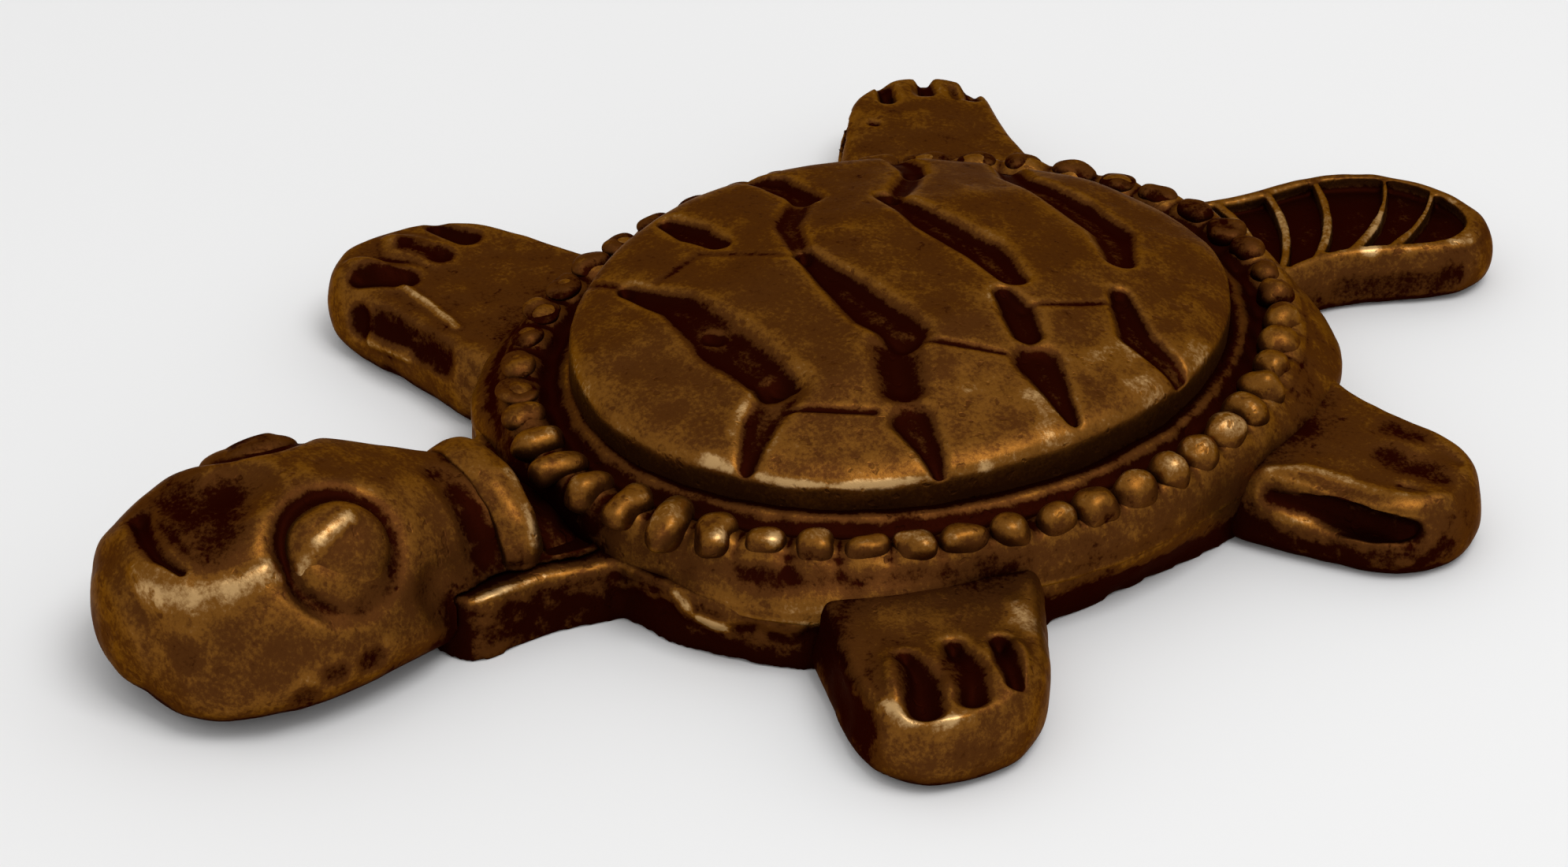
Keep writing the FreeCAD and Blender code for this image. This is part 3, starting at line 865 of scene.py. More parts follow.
    # Painted light on the near facets that slope towards the lamp, painted highlights along the
    # near lower edge, and painted shade over the far side
    light_and_wear_strokes: tuple[SoftPatch, ...] = (
        SoftPatch(((10.2, -3.4),), 3.0, 0.22), SoftPatch(((11.3, -1.7), (13.3, -2.4)), 1.6, 0.34),
        SoftPatch(((10.9, 3.4),), 2.8, 0.36), SoftPatch(((12.9, 4.0),), 1.8, 0.30),
        SoftPatch(((11.9, 8.5),), 1.8, 0.36), SoftPatch(((9.0, -10.6),), 3.6, 0.16),
        SoftPatch(((6.7, -13.0),), 1.6, 0.16), SoftPatch(((8.8, -3.6),), 1.8, 0.2),
        SoftPatch(((0.0, 0.0),), 9.0, 0.04), SoftPatch(((-9.5, 1.0),), 8.0, -0.05),
        SoftPatch(((4.4, -14.6), (3.0, -12.4)), 0.5, 0.3),
        SoftPatch(((7.2, -15.1), (8.5, -14.2), (10.1, -12.6), (11.4, -10.8), (12.4, -9.0)), 0.50, 0.95),
        SoftPatch(((4.6, -16.4), (5.8, -16.0)), 0.7, 0.6), SoftPatch(((13.1, -7.4),), 0.6, 0.6),
        SoftPatch(((13.5, -6.2),), 0.7, 0.8),
    )

    def height(self, shell: np.ndarray) -> np.ndarray:
        """The top of the plates at places across and along the shell.

        Args:
            shell: the places, across and along the shell.

        Returns:
            One height for each place.
        """
        across, along = shell[:, 0] / self.half_width, shell[:, 1] / self.half_length
        total = np.zeros(len(shell))
        for plate_across, plate_along in self.plate_shares:
            level = self.crown - self.drop_across * plate_across ** 2
            level -= self.drop_along * plate_along ** 2
            slope_across = -2 * self.drop_across * plate_across
            slope_along = -2 * self.drop_along * plate_along
            plane = level + slope_across * (across - plate_across)
            plane += slope_along * (along - plate_along)
            total += np.exp(-plane / self.plate_softness)
        return -self.plate_softness * np.log(total)

    def disc(self) -> bmesh.types.BMesh:
        """A round sheet of even squares over the back, with a wall and a bottom.

        Returns:
            The sheet, still flat.
        """
        shape = bmesh.new()
        bmesh.ops.create_grid(shape, x_segments=self.cuts_across, y_segments=self.cuts_along,
                              size=1.0)
        for vertex in shape.verts:
            x, y = vertex.co.x, vertex.co.y
            vertex.co.x = x * math.sqrt(1 - y * y / 2) * self.half_width
            vertex.co.y = y * math.sqrt(1 - x * x / 2) * self.half_length
            vertex.co.z = self.crown
        rim = [edge for edge in shape.edges if edge.is_boundary]
        for _ in range(self.wall_steps):
            ring = bmesh.ops.extrude_edge_only(shape, edges=rim)["geom"]
            rim = [item for item in ring if isinstance(item, bmesh.types.BMEdge)]
        bmesh.ops.holes_fill(shape, edges=rim, sides=0)
        return shape

    def shape_back(self, wax: Wax) -> None:
        """Gives the sheet its plates, its soft edge and its wall.

        Args:
            wax: the flat sheet.
        """
        shell = wax.points[:, :2].copy()
        top = (self.cuts_across + 1) * (self.cuts_along + 1)
        share = np.hypot(shell[:, 0] / self.half_width, shell[:, 1] / self.half_length)
        inward = (1 - share) * self.half_width
        fall = 1 - np.clip(inward / self.edge_round, 0, 1)
        angle = np.arctan2(shell[:, 1], shell[:, 0])
        far = np.maximum(np.cos(angle - self.far_turn), 0) * share ** 2
        drop = self.edge_drop * (1 - np.sqrt(np.clip(1 - fall * fall, 0, 1)))
        wax.points[:, 2] = self.height(shell) - drop
        wax.points[:, 2] += self.far_lift * far
        reach = np.maximum(np.hypot(shell[:, 0], shell[:, 1]), self.edge_round)
        shell *= (1 + self.far_grow * far / reach)[:, None]
        wax.points[:, :2] = SHELL.to_plan(shell)
        wall = wax.points[top:]
        ring = len(wall) // self.wall_steps
        for number in range(self.wall_steps):
            rows = wall[number * ring:(number + 1) * ring]
            rows[:, 2] += (self.foot - rows[:, 2]) * (number + 1) / self.wall_steps
        wax.write()
        wax.face_out()

    def build(self) -> Wax:
        """The finished wax of the back.

        Returns:
            The wax, ready to be dressed and cast.
        """
        wax = Wax.of_shape("carved_back", self.disc())
        self.shape_back(wax)
        wax.dimple(self.broad)
        grooves = self.middle_grooves + self.near_grooves + self.far_grooves
        wax.mark(grooves, self.cut_above, on_shell=True)
        wax.soften(self.groove_softening)
        wax.mark(self.thin_lines, self.cut_above, on_shell=True)
        wax.dimple(self.fine)
        wax.soften(self.last_softening)
        wax.settle()
        return wax


@dataclass
class ShellRim:
    """The ring that carries the beads: an inner ledge, a groove, the seat and the outer skirt."""

    # The circle that the section is spun on before it is drawn to an oval
    spin_radius: float = 30.0
    steps: int = 600
    # The section: distances out from the bead line, and heights
    profile: tuple[Plan, ...] = (
        (-3.8, 3.55), (-3.8, 5.2), (-3.2, 5.65), (-2.4, 5.8), (-1.9, 5.45), (-1.5, 5.15),
        (-1.1, 5.2), (-0.6, 5.4), (0.0, 5.45), (0.6, 5.4), (1.0, 5.1), (1.25, 4.6), (1.38, 4.0),
        (1.38, 3.4), (1.34, 2.9), (0.9, 2.8),
    )
    # About how far apart the points of the section are
    fineness: float = 0.2
    # How far out the skirt starts, and the plain line that it spreads from to the slab
    skirt_start: float = 0.9
    skirt_grow: float = 1.2
    # The heights between which the skirt spreads to meet the slab
    skirt_top: float = 5.6
    seam: float = 3.5
    # How wide and high the rim swells around a bead, and how far it sinks elsewhere
    swell_reach: float = 1.25
    swell_height: float = 0.70
    swell_low: float = 0.12
    # Where the swelling sets in and is whole: by height, by facing, by distance
    swell_levels: Span = (4.4, 5.2)
    swell_facing: Span = (0.0, 0.5)
    swell_row: Span = (2.4, 1.4)
    # The skin's wide and narrow unevenness
    broad: Uneven = Uneven(0.14, 3.4)
    fine: Uneven = Uneven(0.05, 1.1)
    # Painted shade on the flank and the skirt, and in the channel by the back along with its
    # patina; a faint lightening on the near flank
    light_and_wear_strokes: tuple[SoftPatch, ...] = (
        SoftPatch(((17.5, 4.0),), 6.0, 0.06),
        SoftPatch(((10.6, -17.6, 4.3), (13.4, -14.6, 4.3), (15.6, -11.4, 4.3), (17.0, -7.6, 4.3)), 1.8,
            -0.36),
        SoftPatch(((2.0, -21.2, 4.6), (-4.0, -20.9, 4.6), (-9.0, -18.6, 4.6), (-14.0, -13.5, 4.6),
             (-16.6, -9.5, 4.6)), 2.6, -0.50),
        SoftPatch(((6.0, -20.9, 4.0), (9.0, -19.4, 4.0), (11.5, -17.4, 4.0)), 1.8, -0.18),
        SoftPatch(((-1.0, -21.6, 4.2), (3.6, -21.5, 4.2)), 1.8, -0.22),
        SoftPatch(((-13.6, -6.0, 5.8), (-10.0, -13.2, 5.8), (0.0, -17.7, 5.8), (6.0, -16.6, 5.8),
             (12.0, -10.4, 5.8), (14.6, 0.0, 5.8), (13.6, 9.0, 5.8), (9.4, 14.8, 5.8),
             (3.0, 17.6, 5.8)), 1.3, -0.30),
        SoftPatch(((2.0, -19.0, 5.2), (7.5, -16.8, 5.2), (12.0, -12.2, 5.2), (15.7, -3.0, 5.2),
             (16.0, 6.0, 5.2), (13.2, 13.0, 5.2)), 1.0, -0.36),
        SoftPatch(((17.4, -7.0, 3.8), (18.9, 2.0, 3.8), (18.0, 10.0, 3.8), (12.0, 17.0, 3.8)), 2.8,
            -0.22),
    )

    def section(self) -> bmesh.types.BMesh:
        """The ring's section as a smooth line, spun about the upright axis.

        Returns:
            The round ring.
        """
        shape = bmesh.new()
        line = smooth_line(np.array(self.profile), self.fineness)
        corners = [shape.verts.new((self.spin_radius + out, 0, height)) for out, height in line]
        edges = [shape.edges.new(pair) for pair in zip(corners, corners[1:] + corners[:1])]
        bmesh.ops.spin(shape, geom=corners + edges, cent=(0, 0, 0), axis=(0, 0, 1),
                       angle=2 * math.pi, steps=self.steps, use_merge=True)
        return shape

    def swell(self, wax: Wax, beads: np.ndarray) -> None:
        """Raises the rim's top softly around each bead and lets it sink between them.

        Args:
            wax: the rim.
            beads: the plan places of the beads.
        """
        nearest = np.full(len(wax.points), np.inf)
        for bead in beads:
            nearest = np.minimum(nearest, np.linalg.norm(wax.points[:, :2] - bead, axis=1))
        top = ease(*self.swell_levels, wax.points[:, 2])
        top *= ease(*self.swell_facing, wax.normals[:, 2])
        around = np.exp(-(nearest / self.swell_reach) ** 2)
        row = ease(*self.swell_row, nearest)
        wax.points[:, 2] += top * row * (self.swell_height * around - self.swell_low)
        wax.write()

    def build(self, beads: np.ndarray) -> Wax:
        """The finished wax of the rim, which swells around the beads' plan places.

        Args:
            beads: the plan places of the beads.

        Returns:
            The wax, ready to be dressed and cast.
        """
        wax = Wax.of_shape("beaded_rim", self.section())
        angle = np.arctan2(wax.points[:, 1], wax.points[:, 0])
        out = np.hypot(wax.points[:, 0], wax.points[:, 1]) - self.spin_radius
        shell = np.column_stack([(SHELL.bead_half_width + out) * np.cos(angle),
                                 (SHELL.bead_half_length + out) * np.sin(angle)])
        reach = np.hypot(shell[:, 0], shell[:, 1])
        angle = np.arctan2(shell[:, 1], shell[:, 0])
        spread = SHELL.slab_reach(angle) - SHELL.oval_reach(angle, self.skirt_grow)
        spread = np.maximum(spread, 0) * (1 - front_lip(angle))
        skirt = (out > self.skirt_start) * ease(self.skirt_top, self.seam, wax.points[:, 2])
        shell *= ((reach + spread * skirt) / reach)[:, None]
        wax.points[:, :2] = SHELL.to_plan(shell)
        wax.write()
        self.swell(wax, beads)
        wax.dimple(self.broad)
        wax.dimple(self.fine)
        return wax


# Degrees from the head's direction at which the slab's lip has faded out, and is still whole
LIP_FADE = (30.0, 14.0)


def front_lip(angle: np.ndarray) -> np.ndarray:
    """How far the slab shows as its own lip in each direction: 1 towards the head, 0 elsewhere."""
    away = np.degrees(np.abs(np.angle(np.exp(1j * (angle + math.pi / 2)))))
    return ease(*LIP_FADE, away)


def smooth_line(points: np.ndarray, step: float) -> np.ndarray:
    """A smooth line through points, with more of them.

    Args:
        points: the points that it runs through.
        step: about how far apart its new points are.

    Returns:
        The new points, both ends included.
    """
    padded = np.vstack([2 * points[0] - points[1], points, 2 * points[-1] - points[-2]])
    rows = []
    for number in range(1, len(padded) - 2):
        before, start, end, after = padded[number - 1:number + 3]
        count = max(1, round(float(np.linalg.norm(end - start)) / step))
        for share in np.arange(count) / count:
            bend = 2 * before - 5 * start + 4 * end - after
            turn = 3 * start - before - 3 * end + after
            curve = (end - before) * share + bend * share ** 2 + turn * share ** 3
            rows.append(start + curve / 2)
    rows.append(points[-1])
    return np.array(rows)


@dataclass(frozen=True)
class BeadStyle:
    """How the beads look round one angle of the rim.

    Args:
        degrees: the angle, from the turtle's left side towards its tail.
        half_out: half the size away from the shell.
        half_along: half the size along the rim.
        half_up: half the height.
        slant: the turn about the upright axis, in degrees.
        square: from 0, an egg, to 1, a block.
    """

    degrees: float
    half_out: float
    half_along: float
    half_up: float
    slant: float
    square: float


@dataclass
class BeadRow:
    """The hand-pressed beads on the rim.

    They are ropy at the front, pillows by the foreleg, round at the flank and worn behind.
    """

    # How many beads there are, and how they crowd towards one side
    count: int = 48
    crowding: float = 0.07
    crowding_turn: float = 0.2
    # Places at which the way round the oval is measured
    pace_steps: int = 4001
    # The height of the beads' middles, and how far outside the bead line they stand
    seat: float = 5.62
    out: float = 0.3
    # How far the row is drawn in at most, and in which direction that is
    rear_tuck: float = 0.7
    rear_turn: float = math.radians(55)
    # The seed of the chance that makes each bead a little different
    seed: int = 11
    # How often the faces of a ball are split, and how square a block becomes
    fineness: int = 4
    squaring: float = 0.6
    # How much chance changes a bead: a share of its size, and degrees
    size_luck: float = 0.13
    slant_luck: float = 6.0
    lumps: Uneven = Uneven(0.20, 1.0)
    # How far above the beads' middles the painted shade at their feet ends, and how much there is:
    # dark sides under lit tops
    foot_height: float = 0.75
    foot_shade: float = 0.34
    styles: tuple[BeadStyle, ...] = (
        BeadStyle(-180, 0.85, 1.20, 0.34, 10, 0.1),
        BeadStyle(-120, 0.95, 1.20, 0.36, 10, 0.1),
        BeadStyle(-106, 1.25, 0.80, 0.72, 2, 0.1),
        BeadStyle(-80, 1.75, 0.80, 0.95, 4, 0.1),
        BeadStyle(-66, 1.85, 0.98, 1.10, 10, 0.1),
        BeadStyle(-58, 0.78, 1.08, 0.74, 4, 0.4),
        BeadStyle(-28, 0.74, 1.06, 0.70, 0, 0.42),
        BeadStyle(-16, 0.90, 1.04, 0.92, 0, 0.2),
        BeadStyle(8, 1.16, 1.12, 1.18, 0, 0.03),
        BeadStyle(45, 1.10, 1.06, 1.06, 0, 0.03),
        BeadStyle(75, 0.90, 1.02, 0.74, -6, 0.15),
        BeadStyle(120, 0.85, 1.15, 0.42, -6, 0.2),
        BeadStyle(180, 0.85, 1.20, 0.34, 10, 0.1),
    )
    # Painted highlights on the tops of the near beads, and painted shade over the far beads
    light_and_wear_strokes: tuple[SoftPatch, ...] = (
        SoftPatch(((5.2, -20.9, 5.6), (7.0, -20.3, 5.0)), 1.4, 0.40),
        SoftPatch(((9.0, -18.6, 6.4),), 1.1, 0.50),
        SoftPatch(((10.8, -16.8, 6.4),), 0.9, 0.75),
        SoftPatch(((12.5, -14.7, 6.4), (14.6, -11.0, 6.4)), 1.1, 0.14),
        SoftPatch(((17.8, 2.0, 6.6), (17.0, 8.0, 6.6)), 2.0, 0.16),
        SoftPatch(((-12.0, -14.5, 6.0), (-17.4, 0.0, 6.0), (-12.0, 14.5, 6.0), (0.0, 20.4, 6.0),
             (9.0, 17.0, 6.0)), 2.4, -0.38),
    )

    def places(self) -> np.ndarray:
        """The angles of the beads round the oval, a little closer together on the turtle's left.

        Returns:
            One angle for each bead.
        """
        dense = np.linspace(-math.pi / 2, 1.5 * math.pi, self.pace_steps)
        width, length = SHELL.bead_half_width, SHELL.bead_half_length
        pace = np.hypot(width * np.sin(dense), length * np.cos(dense))
        pace *= 1 + self.crowding * np.cos(dense + self.crowding_turn)
        travelled = np.concatenate([[0], np.cumsum((pace[1:] + pace[:-1]) / 2)])
        wanted = (np.arange(self.count) + 0.5) / self.count * travelled[-1]
        return np.interp(wanted, travelled, dense)

    def plan(self, angle: np.ndarray) -> np.ndarray:
        """Where beads stand in plan: a little inwards at the near flank's rear.

        Args:
            angle: the beads' angles.

        Returns:
            One plan point for each bead.
        """
        rear = np.maximum(np.cos(angle - self.rear_turn), 0)
        out = self.out - self.rear_tuck * rear * rear
        width, length = SHELL.bead_half_width + out, SHELL.bead_half_length + out
        return SHELL.to_plan(np.column_stack([width * np.cos(angle), length * np.sin(angle)]))

    def style(self, angle: float) -> BeadStyle:
        """The style at one angle, mixed from its two neighbours in the table.

        Args:
            angle: the bead's angle.

        Returns:
            The style there.
        """
        degrees = math.degrees(math.atan2(math.sin(angle), math.cos(angle)))
        known = [style.degrees for style in self.styles]
        values = [float(np.interp(degrees, known, [getattr(style, size) for style in self.styles]))
                  for size in ("half_out", "half_along", "half_up", "slant", "square")]
        return BeadStyle(degrees, *values)

    def bead(self, shape: bmesh.types.BMesh, angle: float, chance: np.ndarray) -> None:
        """Adds one bead to the row.

        Args:
            shape: the mesh of the row.
            angle: the bead's place round the oval.
            chance: four random numbers between -1 and 1, which make it a little different.
        """
        style = self.style(angle)
        made = bmesh.ops.create_icosphere(shape, subdivisions=self.fineness, radius=1.0)["verts"]
        power = 1 - self.squaring * style.square
        for vertex in made:
            vertex.co = Vector([math.copysign(abs(value) ** power, value) for value in vertex.co])
        size = Vector((style.half_out, style.half_along, style.half_up))
        grown = Vector([value * (1 + self.size_luck * luck) for value, luck in zip(size, chance)])
        bmesh.ops.scale(shape, vec=grown, verts=made)
        plan = self.plan(np.array([angle]))[0]
        outward = math.atan2(math.sin(angle) / SHELL.bead_half_length,
                             math.cos(angle) / SHELL.bead_half_width)
        outward += SHELL.turn
        turn = outward + math.radians(style.slant + self.slant_luck * chance[3])
        bmesh.ops.rotate(shape, cent=(0, 0, 0), matrix=Matrix.Rotation(turn, 3, "Z"), verts=made)
        bmesh.ops.translate(shape, vec=(plan[0], plan[1], self.seat), verts=made)

    def build(self) -> Wax:
        """The finished wax of all the beads.

        Returns:
            The wax, ready to be dressed and cast.
        """
        shape = bmesh.new()
        dice = np.random.default_rng(self.seed)
        for angle in self.places():
            self.bead(shape, angle, dice.uniform(-1, 1, 4))
        wax = Wax.of_shape("rim_bead_row", shape)
        wax.dimple(self.lumps)
        # Darkens each bead's lower side as painted shade
        foot = ease(self.seat + self.foot_height, self.seat, wax.points[:, 2])
        wax.patina_and_shade += self.foot_shade * foot
        return wax


@dataclass
class BaseSlab:
    """The slab under the shell, with a wavy parting line along its top edge."""

    grain: float = 0.22
    # The height of the slab, and how close to its wall a vertex moves with the wall
    height: float = 3.5
    near_wall: float = 0.9
    softening: int = 3
    # The lip's wavy top edge: how deep it goes, its waves' height, its sinking, their length
    seam_depth: float = 1.2
    seam_lift: float = 0.35
    seam_sink: float = 0.2
    seam_wave: float = 2.3
    # The height of the parting line, where the undercut fades in, and its waves
    parting: float = 2.2
    parting_fade: Span = (0.5, -0.4)
    parting_wave: Uneven = Uneven(0.6, 1.3)
    wave_stretch: Place = (1.0, 1.0, 0.2)
    # How deep the wall is cut in under the line, and where that fades in and out
    undercut: float = 0.35
    undercut_start: Span = (math.radians(-88), math.radians(-74))
    undercut_end: Span = (math.radians(-20), math.radians(-34))
    # The height over which the wall swings out to the rim, and how far out that is
    skirt_foot: float = 2.9
    skirt_grow: float = 1.28
    # The skin's wide and narrow unevenness
    broad: Uneven = Uneven(0.12, 2.4)
    fine: Uneven = Uneven(0.05, 0.9)
    # Painted shade on the slab's side wall and under the rim, and painted highlights along the top
    # edge of the lip
    light_and_wear_strokes: tuple[SoftPatch, ...] = (
        SoftPatch(((5.8, -25.8, 1.9), (5.8, -20.0, 1.9), (7.2, -17.6, 1.9), (9.4, -16.6, 1.6)), 2.6,
            -0.42),
        SoftPatch(((8.6, -16.6, 3.2), (11.4, -15.2, 2.8), (14.6, -12.8, 2.6)), 2.0, -0.34),
        SoftPatch(((17.2, -6.0, 2.0), (18.7, -1.0, 2.0), (18.9, 5.0, 2.0), (18.0, 12.0, 2.0),
             (15.0, 17.0, 2.0)), 1.9, -0.34),
        SoftPatch(((1.0, -26.0, 2.0), (5.0, -25.8, 2.0)), 2.8, -0.45),
        SoftPatch(((4.4, -19.2, 3.5),), 1.6, -0.35),
        SoftPatch(((5.7, -24.6, 3.5), (5.7, -22.5, 3.5), (5.7, -20.0, 3.5), (6.2, -17.8, 3.5),
             (7.4, -16.9, 3.3)), 0.42, 0.80),
        SoftPatch(((10.1, -15.9, 3.1), (10.6, -15.5, 2.7)), 0.6, 1.0),
        SoftPatch(((11.3, -15.2, 2.1), (12.2, -14.6, 1.9)), 0.7, 1.0),
        SoftPatch(((13.7, -13.4, 2.0),), 0.6, 0.8),
        SoftPatch(((-4.0, -18.0),), 5.0, -0.15), SoftPatch(((14.5, 15.5),), 5.0, -0.15),
    )

    def build(self) -> Wax:
        """The finished wax of the slab.

        Returns:
            The wax, ready to be dressed and cast.
        """
        wax = Wax.of_node("low_slab", "base_slab", self.grain)
        wax.soften(self.softening)
        shell = SHELL.to_shell(wax.points)
        reach = np.hypot(shell[:, 0], shell[:, 1])
        angle = np.arctan2(shell[:, 1], shell[:, 0])
        slab = SHELL.slab_reach(angle)
        wall = ease(self.near_wall, self.near_wall / 2, np.abs(reach - slab))
        lip = front_lip(angle)
        rise = ease(0, self.skirt_foot, wax.points[:, 2])
        spread = np.maximum(SHELL.oval_reach(angle, self.skirt_grow) - slab, 0)
        wave = SKIN.noise(wax.points * self.wave_stretch, self.parting_wave.size)
        wavy = wax.points[:, 2] + self.parting_wave.depth * wave
        front = ease(*self.undercut_start, angle) * ease(*self.undercut_end, angle)
        above, below = (self.parting + fade for fade in self.parting_fade)
        under = self.undercut * ease(above, below, wavy) * front
        shell *= ((reach + (spread * rise * (1 - lip) - under) * wall) / reach)[:, None]
        wax.points[:, :2] = SHELL.to_plan(shell)
        edge = ease(self.height - self.seam_depth, self.height, wax.points[:, 2]) * lip
        wave = SKIN.noise(wax.points * self.wave_stretch, self.seam_wave)
        wax.points[:, 2] += edge * wave * self.seam_lift - edge * self.seam_sink
        wax.write()
        wax.dimple(self.broad)
        wax.dimple(self.fine)
        wax.settle()
        return wax


@dataclass(frozen=True)
class Dent:
    """A round or long dent pressed into the skin from its own side.

    Args:
        line: the points in space that it runs through.
        radius: how far it reaches from its line.
        depth: how deep it is, or how far it stands out where it is negative.
        sharp: how flat its floor is, from 0, a soft bowl, to 1, a cut with a flat floor.
        patina_and_shade: how much patina and painted shade it holds, or how much painted highlight
            a raised one carries.
    """

    line: tuple[Place, ...]
    radius: float
    depth: float
    sharp: float
    patina_and_shade: float


# The share of a dent's radius that its floor takes, and how much more a sharp one's takes
DENT_FLOOR = 0.1
SHARP_FLOOR = 0.6
# Where a dent's patina and painted shade start to fade and where they end, in radii
DENT_PATINA_AND_SHADE_WALL = (0.5, 1.1)
# Rounds of smoothing for the directions that dents are pressed in
DENT_GUIDE_ROUNDS = 4


def press(wax: Wax, dents: tuple[Dent, ...]) -> None:
    """Presses dents into a wax along its own normals.

    Args:
        wax: the wax.
        dents: what to press.
    """
    for dent in dents:
        away = along_line(np.array(dent.line), wax.points)[0] / dent.radius
        profile = 1 - ease(DENT_FLOOR + SHARP_FLOOR * dent.sharp, 1.0, away)
        guide = wax.averaged(wax.normals, DENT_GUIDE_ROUNDS)
        wax.points -= guide * (profile * dent.depth)[:, None]
        wax.patina_and_shade += math.copysign(dent.patina_and_shade, dent.depth) * (1 - ease(*DENT_PATINA_AND_SHADE_WALL, away))
        wax.write()


# The middle, reach and height of the nape's soft hump, under the neck's skin and the collar
NAPE = np.array([-1.6, -22.6])
NAPE_REACH = np.array([4.6, 3.6])
NAPE_LIFT = 0.9


def nape_rise(points: np.ndarray) -> np.ndarray:
    """How much higher the hand-made neck and its collar stand than their plain shapes."""
    away = (points[:, :2] - NAPE) / NAPE_REACH
    return NAPE_LIFT * np.exp(-(away * away).sum(1))


@dataclass
class Head:
    """The broad head: a flat crown, a ridge over the jaw, eye rings, a brow hollow, a nose cut."""

    # The size of its small faces, and rounds of smoothing before and after the marks
    grain: float = 0.16
    first_softening: int = 3
    last_softening: int = 1
    # How wide a hollow is filled
    fill_rounds: int = 90
    # Only vertices above this height take marks
    cut_above: float = 3.0
    # The heights between which the nape's hump sets in
    nape_levels: Span = (3.6, 6.0)
    # Where the neck sinks under the rim, by height and along the turtle, and how far
    neck_levels: Span = (3.6, 5.2)
    neck_run: Span = (-20.4, -19.2)
    neck_drop: float = 1.9
    # Which vertices give the snout's middle, and how far back its dome reaches
    snout_flat: float = 0.15
    snout_depth: float = 1.8
    # How far from that middle the dome still curves, and how much
    snout_reach: float = 3.2
    snout_round: float = 0.06
    # The skin's wide and narrow unevenness
    broad: Uneven = Uneven(0.16, 4.6)
    fine: Uneven = Uneven(0.05, 1.2)
    fills: tuple[SoftPatch, ...] = (
        SoftPatch(((4.2, -30.2, 7.6),), 4.8, 1.0), SoftPatch(((-5.2, -30.2, 7.2),), 4.6, 1.0),
        SoftPatch(((-2.0, -36.0, 7.2), (1.0, -36.2, 7.2)), 3.6, 1.0),
    )
    # The brow hollow holds a painted dark reflection, the raised snout ridge a painted highlight,
    # the nose cut patina
    crown_marks: tuple[Mark, ...] = (
        Mark(((-2.4, -35.8), (-0.7, -35.0), (1.0, -35.2)), (4.2, 5.2, 4.2), 0.50, Tool.THUMB, 0.30),
        Mark(((-2.9, -37.0), (-1.2, -37.6), (0.6, -37.7), (2.1, -37.3)), (1.5, 1.4, 1.1, 0.6), 0.50,
             Tool.PEN, 0.42),
        Mark(((0.3, -39.2), (2.1, -38.5), (3.4, -37.4), (4.1, -35.6), (4.3, -33.8)),
             (1.6, 2.0, 1.9, 1.6, 1.2), -0.26, Tool.PEN, 0.22),
    )
    dents: tuple[Dent, ...] = (
        Dent(((3.9, -38.6, 4.6), (3.9, -38.5, 4.5)), 1.3, 0.14, 0.0, 0.10),
        Dent(((6.9, -33.9, 2.2), (6.9, -33.7, 2.2)), 0.9, 0.16, 0.0, 0.28),
        Dent(((7.1, -32.6, 3.1), (7.1, -32.2, 3.1)), 0.8, 0.14, 0.0, 0.24),
        Dent(((7.0, -30.5, 3.0), (7.0, -30.2, 3.0)), 0.9, 0.16, 0.0, 0.30),
        Dent(((5.6, -26.0, 4.4), (5.2, -25.2, 2.4)), 1.6, 0.30, 0.0, 0.12),
        Dent(((1.0, -23.2, 7.2), (2.6, -23.0, 6.4), (4.2, -22.9, 5.0)), 1.3, 0.25, 0.0, 0.08),
        Dent(((-4.0, -26.0, 4.4), (-3.8, -25.2, 2.4)), 1.6, 0.30, 0.0, 0.12),
    )
    # Painted highlights along the snout ridge, over the eye and on the crown, and painted shade in
    # the neck's valley, on the low sides and on the far side
    light_and_wear_strokes: tuple[SoftPatch, ...] = (
        SoftPatch(((1.2, -39.0, 6.7), (2.4, -38.4, 6.8), (3.3, -37.5, 6.9)), 0.95, 0.27),
        SoftPatch(((3.4, -37.4, 6.9), (4.0, -36.0, 7.2)), 0.9, 0.12),
        SoftPatch(((2.0, -22.7, 6.6), (3.0, -22.6, 6.0), (4.2, -22.6, 5.0), (5.0, -22.8, 3.8)), 1.2,
            -0.27),
        SoftPatch(((4.8, -19.9, 3.8), (5.3, -17.8, 3.7)), 1.2, -0.50),
        SoftPatch(((3.8, -22.3, 5.3),), 1.5, -0.16),
        SoftPatch(((4.0, -36.0, 7.2), (4.4, -33.6, 7.5)), 0.9, 0.26), SoftPatch(((4.5, -33.3, 7.4),), 0.5, 0.3),
        SoftPatch(((1.9, -27.6, 8.9), (2.6, -26.6, 8.3)), 0.8, 0.2),
        SoftPatch(((-4.4, -34.0), (-7.0, -30.0)), 2.6, -0.2),
        SoftPatch(((-0.7, -35.2),), 3.2, -0.16), SoftPatch(((3.0, -22.4),), 2.4, -0.22),
        SoftPatch(((-1.0, -22.0),), 3.4, -0.20),
        SoftPatch(((5.9, -26.2, 1.6), (4.9, -22.6, 3.2)), 2.4, -0.42),
        SoftPatch(((6.6, -28.6, 1.6),), 2.2, -0.2),
        SoftPatch(((0.0, -18.6),), 3.4, -0.34), SoftPatch(((6.0, -27.0, 5.4),), 1.6, -0.18),
    )

    def round_snout(self, wax: Wax) -> None:
        """Draws the rim of the snout's flat end back, so that the end is domed.

        Args:
            wax: the head.
        """
        along = wax.points[:, 1]
        tip = wax.points[along < along.min() + self.snout_flat].mean(0)
        away = np.hypot(wax.points[:, 0] - tip[0], wax.points[:, 2] - tip[2])
        front = ease(tip[1] + self.snout_depth, tip[1], along)
        wax.points[:, 1] += self.snout_round * front * np.minimum(away, self.snout_reach) ** 2
        wax.write()

